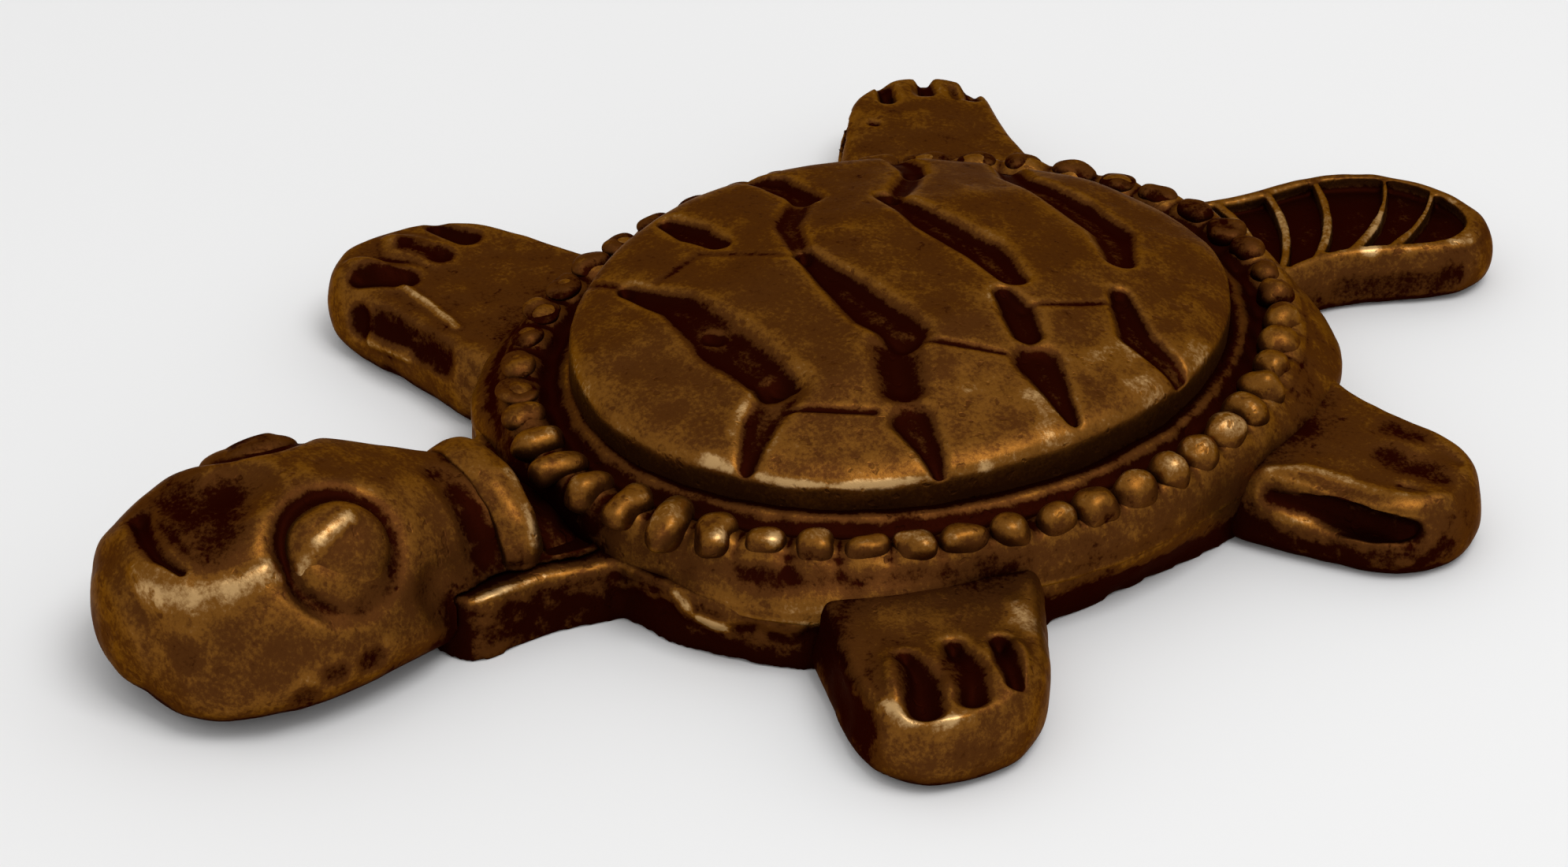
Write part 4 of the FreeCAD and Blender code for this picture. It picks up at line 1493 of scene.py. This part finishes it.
    def build(self) -> Wax:
        """The finished wax of the head and neck.

        Returns:
            The wax, ready to be dressed and cast.
        """
        wax = Wax.of_node("turtle_head", "head", self.grain)
        wax.soften(self.first_softening)
        wax.fill(self.fills, self.fill_rounds)
        wax.mark(self.crown_marks, self.cut_above)
        press(wax, self.dents)
        for eye in EYES:
            eye.socket(wax)
        wax.points[:, 2] += nape_rise(wax.points) * ease(*self.nape_levels, wax.points[:, 2])
        neck = ease(*self.neck_run, wax.points[:, 1]) * ease(*self.neck_levels, wax.points[:, 2])
        wax.points[:, 2] -= self.neck_drop * neck
        wax.write()
        self.round_snout(wax)
        wax.dimple(self.broad)
        wax.dimple(self.fine)
        wax.soften(self.last_softening)
        wax.settle()
        return wax


@dataclass
class Eye:
    """One eye: a boss with a ridge that carries a painted highlight, in a ring groove deepest at
    the snout and the crown.
    """

    name: str
    node: str
    side: int
    # Half sizes of the boss, its height and how deep it sits
    half_along: float = 2.6
    half_up: float = 2.4
    bulge: float = 1.55
    sink: float = 0.80
    # The angle that it looks up at, and how far it looks to the tail, here to the front
    tilt: float = math.radians(42)
    look: float = -0.16
    # How far it sits from the CAD eye: towards the tail, and up
    shift_along: float = -0.25
    shift_up: float = 0.65
    # How far its top leans up and towards the tail
    lean: Plan = (0.45, -0.75)
    # Faces round the boss and over it, and its unevenness
    cuts_round: int = 96
    cuts_up: int = 64
    lumps: Uneven = Uneven(0.08, 1.4)
    # The painted highlight along the ridge, painted shade over the boss where it is negative, and
    # how far it reaches
    light_and_wear: float = 0.55
    light_and_wear_radius: float = 0.7
    # The ring groove: its radius, half width, depth and reach up and down
    ring_radius: float = 2.70
    ring_width: float = 0.62
    ring_depth: float = 0.62
    ring_reach: float = 3.0
    # The direction where it is deepest, up and tailwards, and its even share
    ring_aim: Plan = (0.75, -0.65)
    ring_even_depth: float = 0.35
    # The patina in it: how much, how wide, and the share that is even
    ring_stain: float = 0.40
    ring_stain_gain: float = 1.3
    ring_even_stain: float = 0.30
    # The ridge: points up and tailwards of the boss's middle
    ridge: tuple[Plan, ...] = (
        (1.28, 0.9), (1.1, 0.14), (0.60, -0.90), (0.05, -1.55), (-0.45, -1.9),
    )
    # How fast the ridge falls from the top, how wide it is and how high it stands
    ridge_fall: float = 0.16
    ridge_reach: float = 0.7
    ridge_height: float = 0.12

    def facing(self) -> np.ndarray:
        """The direction that the eye looks in."""
        aim = np.array([self.side * math.cos(self.tilt), self.look, math.sin(self.tilt)])
        return aim / np.linalg.norm(aim)

    def axes(self) -> tuple[np.ndarray, np.ndarray]:
        """The boss's own up and tail directions, square to the way it looks.

        Returns:
            The up direction and the tail direction.
        """
        tail = np.array([0.0, 1.0, 0.0])
        tail -= (tail @ self.facing()) * self.facing()
        tail /= np.linalg.norm(tail)
        up = np.cross(self.facing(), tail)
        return up * math.copysign(1, up[2]), tail

    def middle(self) -> np.ndarray:
        """The middle of the boss, from the CAD eye's box and a little up and forward of it.

        Returns:
            The middle, in millimetres.
        """
        low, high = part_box(self.node)
        up, tail = self.axes()
        return np.array((low + high) / 2) / MM + up * self.shift_up + tail * self.shift_along

    def socket(self, wax: Wax) -> None:
        """Presses the ring groove into the head.

        Args:
            wax: the head.
        """
        offset = wax.points - self.middle()
        facing = self.facing()
        up, tail = self.axes()
        depth = offset @ facing
        radius = np.linalg.norm(offset - depth[:, None] * facing, axis=1)
        aim = self.ring_aim[0] * (offset @ up) + self.ring_aim[1] * (offset @ tail)
        front = (1 + np.clip(aim / np.maximum(radius, TINY), -1, 1)) / 2
        groove = np.exp(-((radius - self.ring_radius) / self.ring_width) ** 2)
        groove *= np.abs(depth) < self.ring_reach
        cut = self.ring_even_depth + (1 - self.ring_even_depth) * front
        wax.points -= facing * (groove * self.ring_depth * cut)[:, None]
        held = self.ring_even_stain + (1 - self.ring_even_stain) * front
        wax.patina_and_shade += self.ring_stain * np.minimum(self.ring_stain_gain * groove, 1) * held
        wax.write()

    def ridge_line(self) -> tuple[Place, ...]:
        """The ridge on the boss, which carries the painted highlight, as points in space.

        Returns:
            The points, in millimetres.
        """
        up, tail = self.axes()
        facing = self.facing()
        top = self.middle() + facing * (self.bulge - self.sink)
        line = []
        for high, back in self.ridge:
            fall = self.ridge_fall * (high * high + back * back)
            line.append(tuple(top + up * high + tail * back - facing * fall))
        return tuple(line)

    def light_and_wear_strokes(self) -> tuple[SoftPatch, ...]:
        """The painted highlight along the ridge, or the painted shade over the far boss."""
        return (SoftPatch(self.ridge_line(), self.light_and_wear_radius, self.light_and_wear),)

    def build(self) -> Wax:
        """The finished wax of the boss.

        Returns:
            The wax, ready to be dressed and cast.
        """
        shape = bmesh.new()
        bmesh.ops.create_uvsphere(shape, u_segments=self.cuts_round, v_segments=self.cuts_up,
                                  radius=1.0)
        bmesh.ops.scale(shape, vec=(self.half_up, self.half_along, self.bulge), verts=shape.verts)
        for vertex in shape.verts:
            share = max(0.0, vertex.co.z / self.bulge) ** 2
            vertex.co.x += self.lean[0] * share
            vertex.co.y += self.lean[1] * share
        up, tail = self.axes()
        turn = Matrix(np.column_stack([up, tail, self.facing()]).tolist())
        for vertex in shape.verts:
            vertex.co = turn @ vertex.co
        place = self.middle() - self.facing() * self.sink
        bmesh.ops.translate(shape, vec=place, verts=shape.verts)
        wax = Wax.of_shape(self.name, shape)
        press(wax, (Dent(self.ridge_line(), self.ridge_reach, -self.ridge_height, 0.0, 0.0),))
        wax.dimple(self.lumps)
        return wax


EYES = (
    Eye("left_eye_boss", "left_eye", 1),
    # The far eye's boss is darkened all over as painted shade
    Eye("right_eye_boss", "right_eye", -1, bulge=1.2, sink=0.85, light_and_wear=-0.42, light_and_wear_radius=2.6),
)


@dataclass
class NeckCollar:
    """The raised band over the neck, hollowed towards the head, with a painted highlight along its
    rear edge.
    """

    # The size of its small faces, and rounds of smoothing
    grain: float = 0.12
    softening: int = 2
    # The place of its front edge, how much wider the band becomes, and how far that edge drops
    front: float = -22.1
    widening: float = 1.35
    front_drop: float = 0.55
    # The height of its foot, how far up the foot ends, and how far it is drawn in
    foot: float = 3.5
    foot_rise: float = 1.5
    tuck: float = 0.7
    # The skin's wide and narrow unevenness
    broad: Uneven = Uneven(0.14, 1.6)
    fine: Uneven = Uneven(0.05, 0.6)
    # A painted highlight along the rear edge, and painted shade at the front and at the bottom end
    light_and_wear_strokes: tuple[SoftPatch, ...] = (
        SoftPatch(((-0.6, -19.8, 8.0), (1.2, -19.8, 7.6), (3.2, -20.0, 6.8), (4.4, -20.2, 5.8),
             (5.0, -20.4, 4.8)), 0.7, 0.40),
        SoftPatch(((-2.0, -22.2, 6.6), (2.0, -22.3, 6.6), (5.0, -22.4, 4.6)), 0.9, -0.34),
        SoftPatch(((5.2, -21.2, 4.2),), 1.3, -0.40),
    )

    def build(self) -> Wax:
        """The finished wax of the collar.

        Returns:
            The wax, ready to be dressed and cast.
        """
        wax = Wax.of_node("collar_band", "neck_collar", self.grain)
        wax.soften(self.softening)
        back = wax.points[:, 1].max()
        share = (wax.points[:, 1] - self.front) / (back - self.front)
        wax.points[:, 1] = self.front + (wax.points[:, 1] - self.front) * self.widening
        height = ease(self.foot, self.foot + self.foot_rise, wax.points[:, 2])
        wax.points[:, 2] += nape_rise(wax.points) * height - self.front_drop * (1 - share) * height
        middle = (wax.points[:, 0].min() + wax.points[:, 0].max()) / 2
        wax.points[:, 0] -= np.sign(wax.points[:, 0] - middle) * self.tuck * (1 - height)
        wax.write()
        wax.dimple(self.broad)
        wax.dimple(self.fine)
        return wax


@dataclass
class Limb:
    """One leg or the tail, with the marks that its maker cut.

    Args:
        name: the piece's name.
        node: the CAD node that it stands for.
        marks: cuts and ridges in its top.
        dents: cuts and ridges in its sides.
        light_and_wear_strokes: painted highlights and painted shade, with some wear.
        fills: where the CAD cuts are filled before the marks are cut.
        dish_floor: the height of a dished top's floor, which holds patina, or 0 without a dish.
        grain: the size of its small faces.
        dish_stain: how much patina the dish holds.
        dish_fade: how far above its floor the patina starts, and is whole.
        dish_facing: how far a face looks up to count as its floor, from not at all to fully.
        fill_rounds: how wide a hollow is filled.
        first_softening: rounds of smoothing before the marks.
        last_softening: rounds of smoothing after them.
        cut_above: only vertices above this height take marks.
        broad: the skin's wide unevenness.
        fine: its narrow one.
    """

    name: str
    node: str
    marks: tuple[Mark, ...]
    dents: tuple[Dent, ...]
    light_and_wear_strokes: tuple[SoftPatch, ...]
    fills: tuple[SoftPatch, ...] = ()
    dish_floor: float = 0.0
    grain: float = 0.15
    dish_stain: float = 0.42
    dish_fade: Span = (0.55, 0.25)
    dish_facing: Span = (0.3, 0.8)
    fill_rounds: int = 90
    first_softening: int = 2
    last_softening: int = 1
    cut_above: float = 0.8
    broad: Uneven = Uneven(0.14, 3.6)
    fine: Uneven = Uneven(0.05, 1.1)

    def build(self) -> Wax:
        """The finished wax of the limb.

        Returns:
            The wax, ready to be dressed and cast.
        """
        wax = Wax.of_node(self.name, self.node, self.grain)
        wax.soften(self.first_softening)
        if self.fills:
            wax.fill(self.fills, self.fill_rounds)
        wax.mark(self.marks, self.cut_above)
        press(wax, self.dents)
        if self.dish_floor:
            start, whole = (self.dish_floor + fade for fade in self.dish_fade)
            low = ease(start, whole, wax.points[:, 2])
            wax.patina_and_shade += self.dish_stain * low * ease(*self.dish_facing, wax.normals[:, 2])
        wax.dimple(self.broad)
        wax.dimple(self.fine)
        wax.soften(self.last_softening)
        wax.settle()
        return wax


LIMBS = (
    Limb("left_front_paddle", "left_foreleg",
         marks=(
             Mark(((21.6, -10.6), (23.4, -11.0), (24.9, -11.7)), (1.6, 2.6, 2.2), 0.75, Tool.THUMB,
                  0.34),
             Mark(((21.8, -8.0), (23.6, -8.7), (25.2, -9.4)), (1.4, 2.5, 2.0), 0.75, Tool.THUMB,
                  0.34),
             Mark(((22.6, -6.0), (24.2, -6.6), (25.6, -7.2)), (1.2, 1.6, 1.1), 0.80, Tool.THUMB,
                  0.46),
             Mark(((23.7, -13.2), (25.2, -12.9), (26.4, -11.2), (26.6, -10.2)),
                  (0.9, 1.1, 1.0, 0.9), -0.18, Tool.PEN, 0.1),
             Mark(((20.4, -3.6), (22.6, -4.4)), (1.8, 1.6), -0.12, Tool.PEN, 0.1),
         ),
         # The scooped front side holds patina and painted shade
         dents=(
             Dent(((15.6, -11.2, 2.6), (22.6, -14.0, 2.0)), 2.2, 0.30, 0.0, 0.26),
         ),
         # Painted highlights on the tip's lip and on the top, painted shade on the front side and
         # by the shell
         light_and_wear_strokes=(
             SoftPatch(((24.0, -13.0, 4.0), (25.2, -12.8, 4.0), (26.2, -11.4, 4.0)), 0.8, 0.42),
             SoftPatch(((26.3, -11.0, 4.0),), 0.5, 0.5),
             SoftPatch(((21.6, -4.2),), 1.8, 0.26),
             SoftPatch(((26.4, -12.0, 1.8), (26.8, -8.0, 1.8)), 2.0, -0.08),
             SoftPatch(((13.4, -10.4, 3.6), (18.6, -12.8, 3.0), (22.4, -13.6, 2.0)), 3.0, -0.46),
             SoftPatch(((17.8, -1.6),), 1.6, -0.2),
             SoftPatch(((14.0, -10.6, 4.3), (17.4, -2.0, 4.3)), 0.8, -0.34),
             SoftPatch(((18.0, -7.0),), 4.2, 0.26),
         ),
         fills=(SoftPatch(((22.0, -10.8), (25.6, -12.0)), 2.0, 1.0),
                SoftPatch(((22.0, -8.0), (26.0, -9.8)), 2.0, 1.0),
                SoftPatch(((22.6, -5.9), (26.2, -7.6)), 1.8, 1.0))),
    Limb("right_front_paddle", "right_foreleg",
         marks=(
             Mark(((-21.4, -13.2), (-22.6, -14.8)), (1.9, 1.9), 0.6, Tool.THUMB, 0.5),
             Mark(((-22.6, -10.4), (-24.2, -11.4)), (1.8, 1.5), 0.45, Tool.THUMB, 0.4),
             Mark(((-23.6, -8.2), (-25.4, -8.9)), (1.8, 1.5), 0.6, Tool.THUMB, 0.5),
             Mark(((-20.6, -13.6), (-17.9, -13.3), (-15.6, -13.3)), (0.9, 0.9, 0.7), -0.22,
                  Tool.PEN, 0.25),
         ),
         dents=(
             Dent(((-21.0, -16.0, 2.8), (-20.9, -16.1, 2.5)), 1.1, 0.4, 0.0, 0.4),
             Dent(((-19.4, -15.9, 3.2), (-14.4, -14.8, 3.2)), 1.2, 0.3, 0.0, 0.3),
             Dent(((-19.9, -16.0, 2.0), (-17.2, -15.4, 2.3)), 0.6, -0.2, 0.0, 0.2),
         ),
         # Darker patches near the shell
         light_and_wear_strokes=(
             SoftPatch(((-18.6, -15.6),), 2.6, -0.22), SoftPatch(((-15.4, -14.8),), 2.4, -0.22),
             SoftPatch(((-22.4, -12.6),), 1.6, -0.1),
         ),
         fills=(SoftPatch(((-21.4, -13.2), (-22.6, -14.8)), 1.8, 1.0),
                SoftPatch(((-22.6, -10.4), (-24.2, -11.4)), 1.6, 1.0),
                SoftPatch(((-23.6, -8.2), (-25.4, -8.9)), 1.6, 1.0))),
    Limb("left_rear_paddle", "left_hind_leg",
         marks=(
             Mark(((17.4, 13.4), (18.4, 14.9), (20.3, 16.1), (22.6, 17.2), (24.0, 19.4)),
                  (1.3, 1.5, 1.6, 1.6, 1.4), -0.16, Tool.PEN, 0.06),
             Mark(((17.6, 21.0), (18.8, 21.6)), (2.2, 1.8), 0.15, Tool.THUMB, 0.20),
             Mark(((19.8, 19.3), (21.9, 20.2)), (2.5, 2.3), 0.20, Tool.THUMB, 0.22),
         ),
         # The scooped side holds patina and painted shade
         dents=(
             Dent(((18.6, 12.9, 3.3), (20.4, 14.5, 3.0), (22.4, 16.0, 2.7), (23.8, 17.3, 2.5)), 1.0,
                  0.60, 0.1, 0.34),
         ),
         # Painted highlights along the two ridges, painted shade on the low side
         light_and_wear_strokes=(
             SoftPatch(((17.6, 13.5, 4.0), (18.6, 15.0, 4.0), (20.3, 16.0, 4.0), (22.6, 17.1, 3.7)), 0.6,
                 0.40),
             SoftPatch(((18.8, 13.2, 2.2), (20.4, 14.6, 2.0), (22.1, 16.1, 1.8), (23.6, 17.4, 1.9)), 0.55,
                 0.55),
             SoftPatch(((15.6, 17.0),), 2.2, -0.25),
             SoftPatch(((17.2, 12.0, 1.3), (22.8, 15.4, 1.0), (25.0, 19.0, 1.2)), 1.9, -0.46),
             SoftPatch(((24.4, 18.0, 2.8), (24.2, 21.0, 2.8)), 2.4, -0.20),
         ),
         fills=(SoftPatch(((18.2, 12.4, 3.0), (21.2, 15.0, 2.8), (24.4, 17.6, 2.7)), 2.4, 1.0),
                SoftPatch(((17.0, 21.2), (22.4, 20.2)), 1.8, 1.0))),
    Limb("right_rear_paddle", "right_hind_leg",
         marks=(
             Mark(((-24.6, 19.2), (-26.0, 19.9)), (1.1, 1.1), 0.55, Tool.CHISEL),
             Mark(((-24.0, 21.4), (-25.6, 22.2)), (1.1, 1.1), 0.55, Tool.CHISEL),
             Mark(((-22.2, 23.2), (-23.8, 24.0)), (1.1, 1.1), 0.55, Tool.CHISEL),
             Mark(((-22.6, 16.8), (-22.4, 16.9)), (0.6, 0.6), 0.35, Tool.PEN),
         ),
         dents=(
             Dent(((-18.9, 13.2, 2.8), (-24.6, 17.2, 2.7)), 0.9, 0.45, 0.5, 0.3),
         ),
         # A darker patch near the shell
         light_and_wear_strokes=(SoftPatch(((-16.5, 17.5),), 2.4, -0.15),)),
    Limb("paddle_tail", "tail",
         marks=(),
         dents=(
             Dent(((2.4, 30.2, 1.4), (4.9, 36.0, 1.5)), 1.0, 0.15, 0.0, 0.1),
         ),
         # Painted highlights along the ribs, and painted shade on the low near side
         light_and_wear_strokes=(
             SoftPatch(((-2.4, 29.0, 3.8), (-0.4, 33.0, 3.8), (0.8, 37.0, 3.8)), 3.2, 0.16),
             SoftPatch(((-1.8, 37.2, 3.6), (2.3, 31.8, 3.6)), 0.8, 0.35),
             SoftPatch(((0.4, 38.6, 3.6), (3.5, 33.9, 3.6)), 0.8, 0.30),
             SoftPatch(((0.6, 30.9, 3.4),), 0.8, 0.36), SoftPatch(((2.3, 31.9, 3.4),), 0.8, 0.40),
             SoftPatch(((3.4, 33.6, 3.4),), 0.8, 0.36),
             SoftPatch(((3.9, 36.2, 3.4), (4.1, 37.2, 3.4)), 0.6, 0.40),
             SoftPatch(((-0.6, 28.4, 3.2), (1.6, 30.6, 3.2)), 1.0, 0.10),
             SoftPatch(((3.0, 28.6, 1.2), (5.2, 36.0, 1.2)), 2.4, -0.34),
         ),
         dish_floor=2.6,
         grain=0.11),
)


@dataclass
class WearAndPaintedLightMap:
    """Where hands have rubbed the casting, where its patina has stayed, and where light and shade
    are painted into its colour.

    It looks at the whole turtle as a relief from above, so that a groove between two pieces is as
    dark as a groove within one, and at the bend of each piece's own surface. The relief also
    paints shade into hollows, gaps between pieces and low sides near the ground, along with the
    patina, and the strokes paint highlights and shade.
    """

    waxes: list[Wax]
    # The relief's small squares, how many lie outside the turtle, and how far a vertex looks out
    cell: float = 0.25
    margin: int = 24
    outlook: float = 0.9
    # The widths that the relief is smoothed over for the patina and painted shade in hollows, their
    # weights and their limits
    broad_blurs: tuple[float, ...] = (0.7, 1.8)
    broad_weights: tuple[float, ...] = (0.42, 0.16)
    broad_limits: Span = (-2.0, 0.12)
    # The rounds that show how a surface bends, their weights and their limits
    bend_rounds: tuple[int, ...] = (4, 20)
    bend_weights: tuple[float, ...] = (7.0, 2.4)
    bend_limits: Span = (-0.12, 0.03)
    # The level of wear and painted light of a plain place
    level: float = 0.47
    # How far a face has to look up to take a stroke in plan, from not at all to fully
    exposed: Span = (-0.1, 0.5)
    # How patchy the strokes of wear and painted light are
    patchiness: Uneven = Uneven(0.6, 0.55)

    def __post_init__(self) -> None:
        """Draws the relief of all the waxes and smooths it over each width."""
        every = np.vstack([wax.points for wax in self.waxes])
        self.corner = every[:, :2].min(0) - self.margin * self.cell
        size = np.ceil((every[:, :2].max(0) - self.corner) / self.cell).astype(int) + self.margin
        self.relief = np.zeros(size)
        cells = ((every[:, :2] - self.corner) / self.cell).astype(int)
        np.maximum.at(self.relief, (cells[:, 0], cells[:, 1]), every[:, 2])
        self.blurred = [self.blur(width) for width in self.broad_blurs]

    def blur(self, width: float) -> np.ndarray:
        """The relief smoothed over a width in millimetres.

        Args:
            width: the width.

        Returns:
            The smoothed relief.
        """
        result = self.relief
        for axis, count in enumerate(self.relief.shape):
            pace = np.fft.rfftfreq(count, self.cell)
            shape = [1, 1]
            shape[axis] = len(pace)
            window = np.exp(-2 * (math.pi * pace * width) ** 2).reshape(shape)
            result = np.fft.irfft(np.fft.rfft(result, axis=axis) * window, count, axis=axis)
        return result

    def recess(self, wax: Wax) -> np.ndarray:
        """How far each vertex stands above its surroundings, negative in a hollow and low by the
        ground, which darkens these places as painted shade along with the patina.

        Args:
            wax: the wax.

        Returns:
            One value for each vertex.
        """
        seen = wax.points[:, :2] + self.outlook * wax.normals[:, :2]
        cells = (seen - self.corner) / self.cell - 0.5
        low = cells.astype(int)
        part = cells - low
        total = np.zeros(len(wax.points))
        for blurred, weight in zip(self.blurred, self.broad_weights):
            value = np.zeros(len(wax.points))
            for step_x in (0, 1):
                for step_y in (0, 1):
                    share = np.abs(1 - step_x - part[:, 0]) * np.abs(1 - step_y - part[:, 1])
                    value += share * blurred[low[:, 0] + step_x, low[:, 1] + step_y]
            # Lower than the smoothed relief gives darker: painted shade in hollows, gaps and near
            # the ground, along with patina
            total += weight * np.clip(wax.points[:, 2] - value, *self.broad_limits)
        return total

    def bend(self, wax: Wax) -> np.ndarray:
        """How far each vertex stands out of its own surface, negative in a groove.

        Args:
            wax: the wax.

        Returns:
            One value for each vertex.
        """
        total = np.zeros(len(wax.points))
        for rounds, weight in zip(self.bend_rounds, self.bend_weights):
            smooth = wax.averaged(wax.points, rounds)
            out = ((wax.points - smooth) * wax.normals).sum(1)
            total += weight * np.clip(out, *self.bend_limits)
        return total

    def apply(self, wax: Wax, light_and_wear_strokes: tuple[SoftPatch, ...], on_shell: bool) -> None:
        """Stores the wear, the patina and the painted light and shade of one wax as its attribute.

        Args:
            wax: the finished wax.
            light_and_wear_strokes: strokes of painted highlight and painted shade, with some wear.
            on_shell: whether the patches are across and along the shell.
        """
        # Painted shade from the relief, wear and patina from the bend and the marks, painted
        # highlights and shade from the strokes
        wear_and_painted_light = self.level + self.recess(wax) + self.bend(wax) - wax.patina_and_shade
        places = wax.points
        if on_shell:
            places = np.column_stack([SHELL.to_shell(wax.points), wax.points[:, 2]])
        exposed = ease(*self.exposed, wax.normals[:, 2])
        patchy = 1 + self.patchiness.depth * SKIN.noise(wax.points, self.patchiness.size)
        for light_and_wear in light_and_wear_strokes:
            line = np.array(light_and_wear.line)
            in_plan = line.shape[1] == 2
            away = along_line(line, places[:, :line.shape[1]])[0] / light_and_wear.radius
            change = light_and_wear.amount * (1 - ease(0.0, 1.0, away)) * patchy
            wear_and_painted_light += change * (exposed if in_plan else 1)
        wax.store("wear_and_painted_light", wear_and_painted_light)


@dataclass
class Studio:
    """The pale floor, the soft lamp and the camera, which stands where the photographer's did."""

    # The camera's direction round from the head, its angle above the table, its distance
    turn: float = math.radians(57.5)
    rise: float = math.radians(32.0)
    distance: float = 240.0
    # Its focal length and the photograph's width, both in the photograph's pixels
    focus: float = 5991.23
    photo_width: float = 1990.0
    # The width of its sensor, and the place on the table that it looks at
    sensor: float = 36.0
    target: Plan = (-3.487, -1.140)
    # The floor: half its size, how far under the turtle it lies, its colour and roughness
    floor_half: float = 1500.0
    floor_gap: float = 0.02
    floor_colour: Colour = (0.86, 0.86, 0.86)
    floor_roughness: float = 0.9
    # The lamp: its place, size and power
    lamp_place: Place = (147.0, 46.0, 386.0)
    lamp_size: float = 200.0
    lamp_power: float = 0.6
    # The strength of the light from all round
    room_light: float = 0.72

    def away(self) -> Vector:
        """The direction from the turtle to the camera.

        Returns:
            A direction of length 1.
        """
        level = math.cos(self.rise)
        return Vector((math.sin(self.turn) * level, -math.cos(self.turn) * level,
                       math.sin(self.rise)))

    def place_camera(self) -> None:
        """Sets the camera where the photograph was taken from."""
        data = bpy.data.cameras.new("photo_camera")
        data.sensor_width = self.sensor
        data.lens = self.focus / self.photo_width * self.sensor
        camera = bpy.data.objects.new("photo_camera", data)
        bpy.context.scene.collection.objects.link(camera)
        camera.location = (Vector((*self.target, 0)) + self.away() * self.distance) * MM
        camera.rotation_euler = self.away().to_track_quat("Z", "Y").to_euler()
        bpy.context.scene.camera = camera

    def lay_floor(self) -> None:
        """Lays the pale floor that the turtle stands on."""
        shape = bmesh.new()
        bmesh.ops.create_grid(shape, x_segments=1, y_segments=1, size=self.floor_half * MM)
        mesh = bpy.data.meshes.new("floor")
        shape.to_mesh(mesh)
        shape.free()
        floor = bpy.data.objects.new("floor", mesh)
        floor.location.z = -self.floor_gap * MM
        bpy.context.scene.collection.objects.link(floor)
        material = bpy.data.materials.new("pale_floor")
        material.use_nodes = True
        shader = material.node_tree.nodes["Principled BSDF"]
        shader.inputs["Base Color"].default_value = (*self.floor_colour, 1)
        shader.inputs["Roughness"].default_value = self.floor_roughness
        mesh.materials.append(material)

    def hang_lamp(self) -> None:
        """Hangs one soft square lamp that looks at the turtle."""
        data = bpy.data.lights.new("overhead_softbox", "AREA")
        data.size = self.lamp_size * MM
        data.energy = self.lamp_power
        lamp = bpy.data.objects.new("overhead_softbox", data)
        lamp.location = Vector(self.lamp_place) * MM
        lamp.rotation_euler = Vector(self.lamp_place).to_track_quat("Z", "Y").to_euler()
        bpy.context.scene.collection.objects.link(lamp)

    def light_world(self) -> None:
        """Fills the room with a plain soft light."""
        world = bpy.data.worlds.new("studio")
        bpy.context.scene.world = world
        world.use_nodes = True
        background = world.node_tree.nodes["Background"]
        background.inputs["Color"].default_value = (1, 1, 1, 1)
        background.inputs["Strength"].default_value = self.room_light

    def build(self) -> None:
        """Sets up the whole studio."""
        self.place_camera()
        self.lay_floor()
        self.light_world()
        self.hang_lamp()
        bpy.context.scene.view_settings.view_transform = "Standard"


@dataclass(frozen=True)
class Job:
    """One wax that is ready to be dressed and cast.

    Args:
        wax: the finished wax.
        node: the CAD node that it stands for.
        light_and_wear_strokes: painted highlights and painted shade, with some wear.
        on_shell: whether these rubs are across and along the shell.
        finish: its brass.
    """

    wax: Wax
    node: str
    light_and_wear_strokes: tuple[SoftPatch, ...]
    on_shell: bool
    finish: bpy.types.Material


def main() -> None:
    """Builds the turtle, its finish and the studio, and reports each piece."""
    logging.basicConfig(level=logging.INFO, format="%(name)s %(message)s")
    patina = PatinaGroup().tree
    shell_finish = Brass("shell_brass").build(patina)
    limb_finish = Brass("limb_brass", cloud=1.8).build(patina)
    back, rim, beads, slab = Carapace(), ShellRim(), BeadRow(), BaseSlab()
    head, collar = Head(), NeckCollar()
    jobs = [
        Job(back.build(), "carapace", back.light_and_wear_strokes, True, shell_finish),
        Job(rim.build(beads.plan(beads.places())), "shell_rim", rim.light_and_wear_strokes, True, shell_finish),
        Job(beads.build(), "rim_beads", beads.light_and_wear_strokes, True, shell_finish),
        Job(slab.build(), "base_slab", slab.light_and_wear_strokes, False, limb_finish),
        Job(head.build(), "head", head.light_and_wear_strokes, False, limb_finish),
        Job(collar.build(), "neck_collar", collar.light_and_wear_strokes, False, limb_finish),
    ]
    jobs += [Job(eye.build(), eye.node, eye.light_and_wear_strokes(), False, limb_finish) for eye in EYES]
    jobs += [Job(limb.build(), limb.node, limb.light_and_wear_strokes, False, limb_finish) for limb in LIMBS]
    wear_and_painted_light = WearAndPaintedLightMap([job.wax for job in jobs])
    for job in jobs:
        wear_and_painted_light.apply(job.wax, job.light_and_wear_strokes, job.on_shell)
        job.wax.cast([job.node], job.finish)
    Studio().build()


if __name__ == "__main__":
    main()
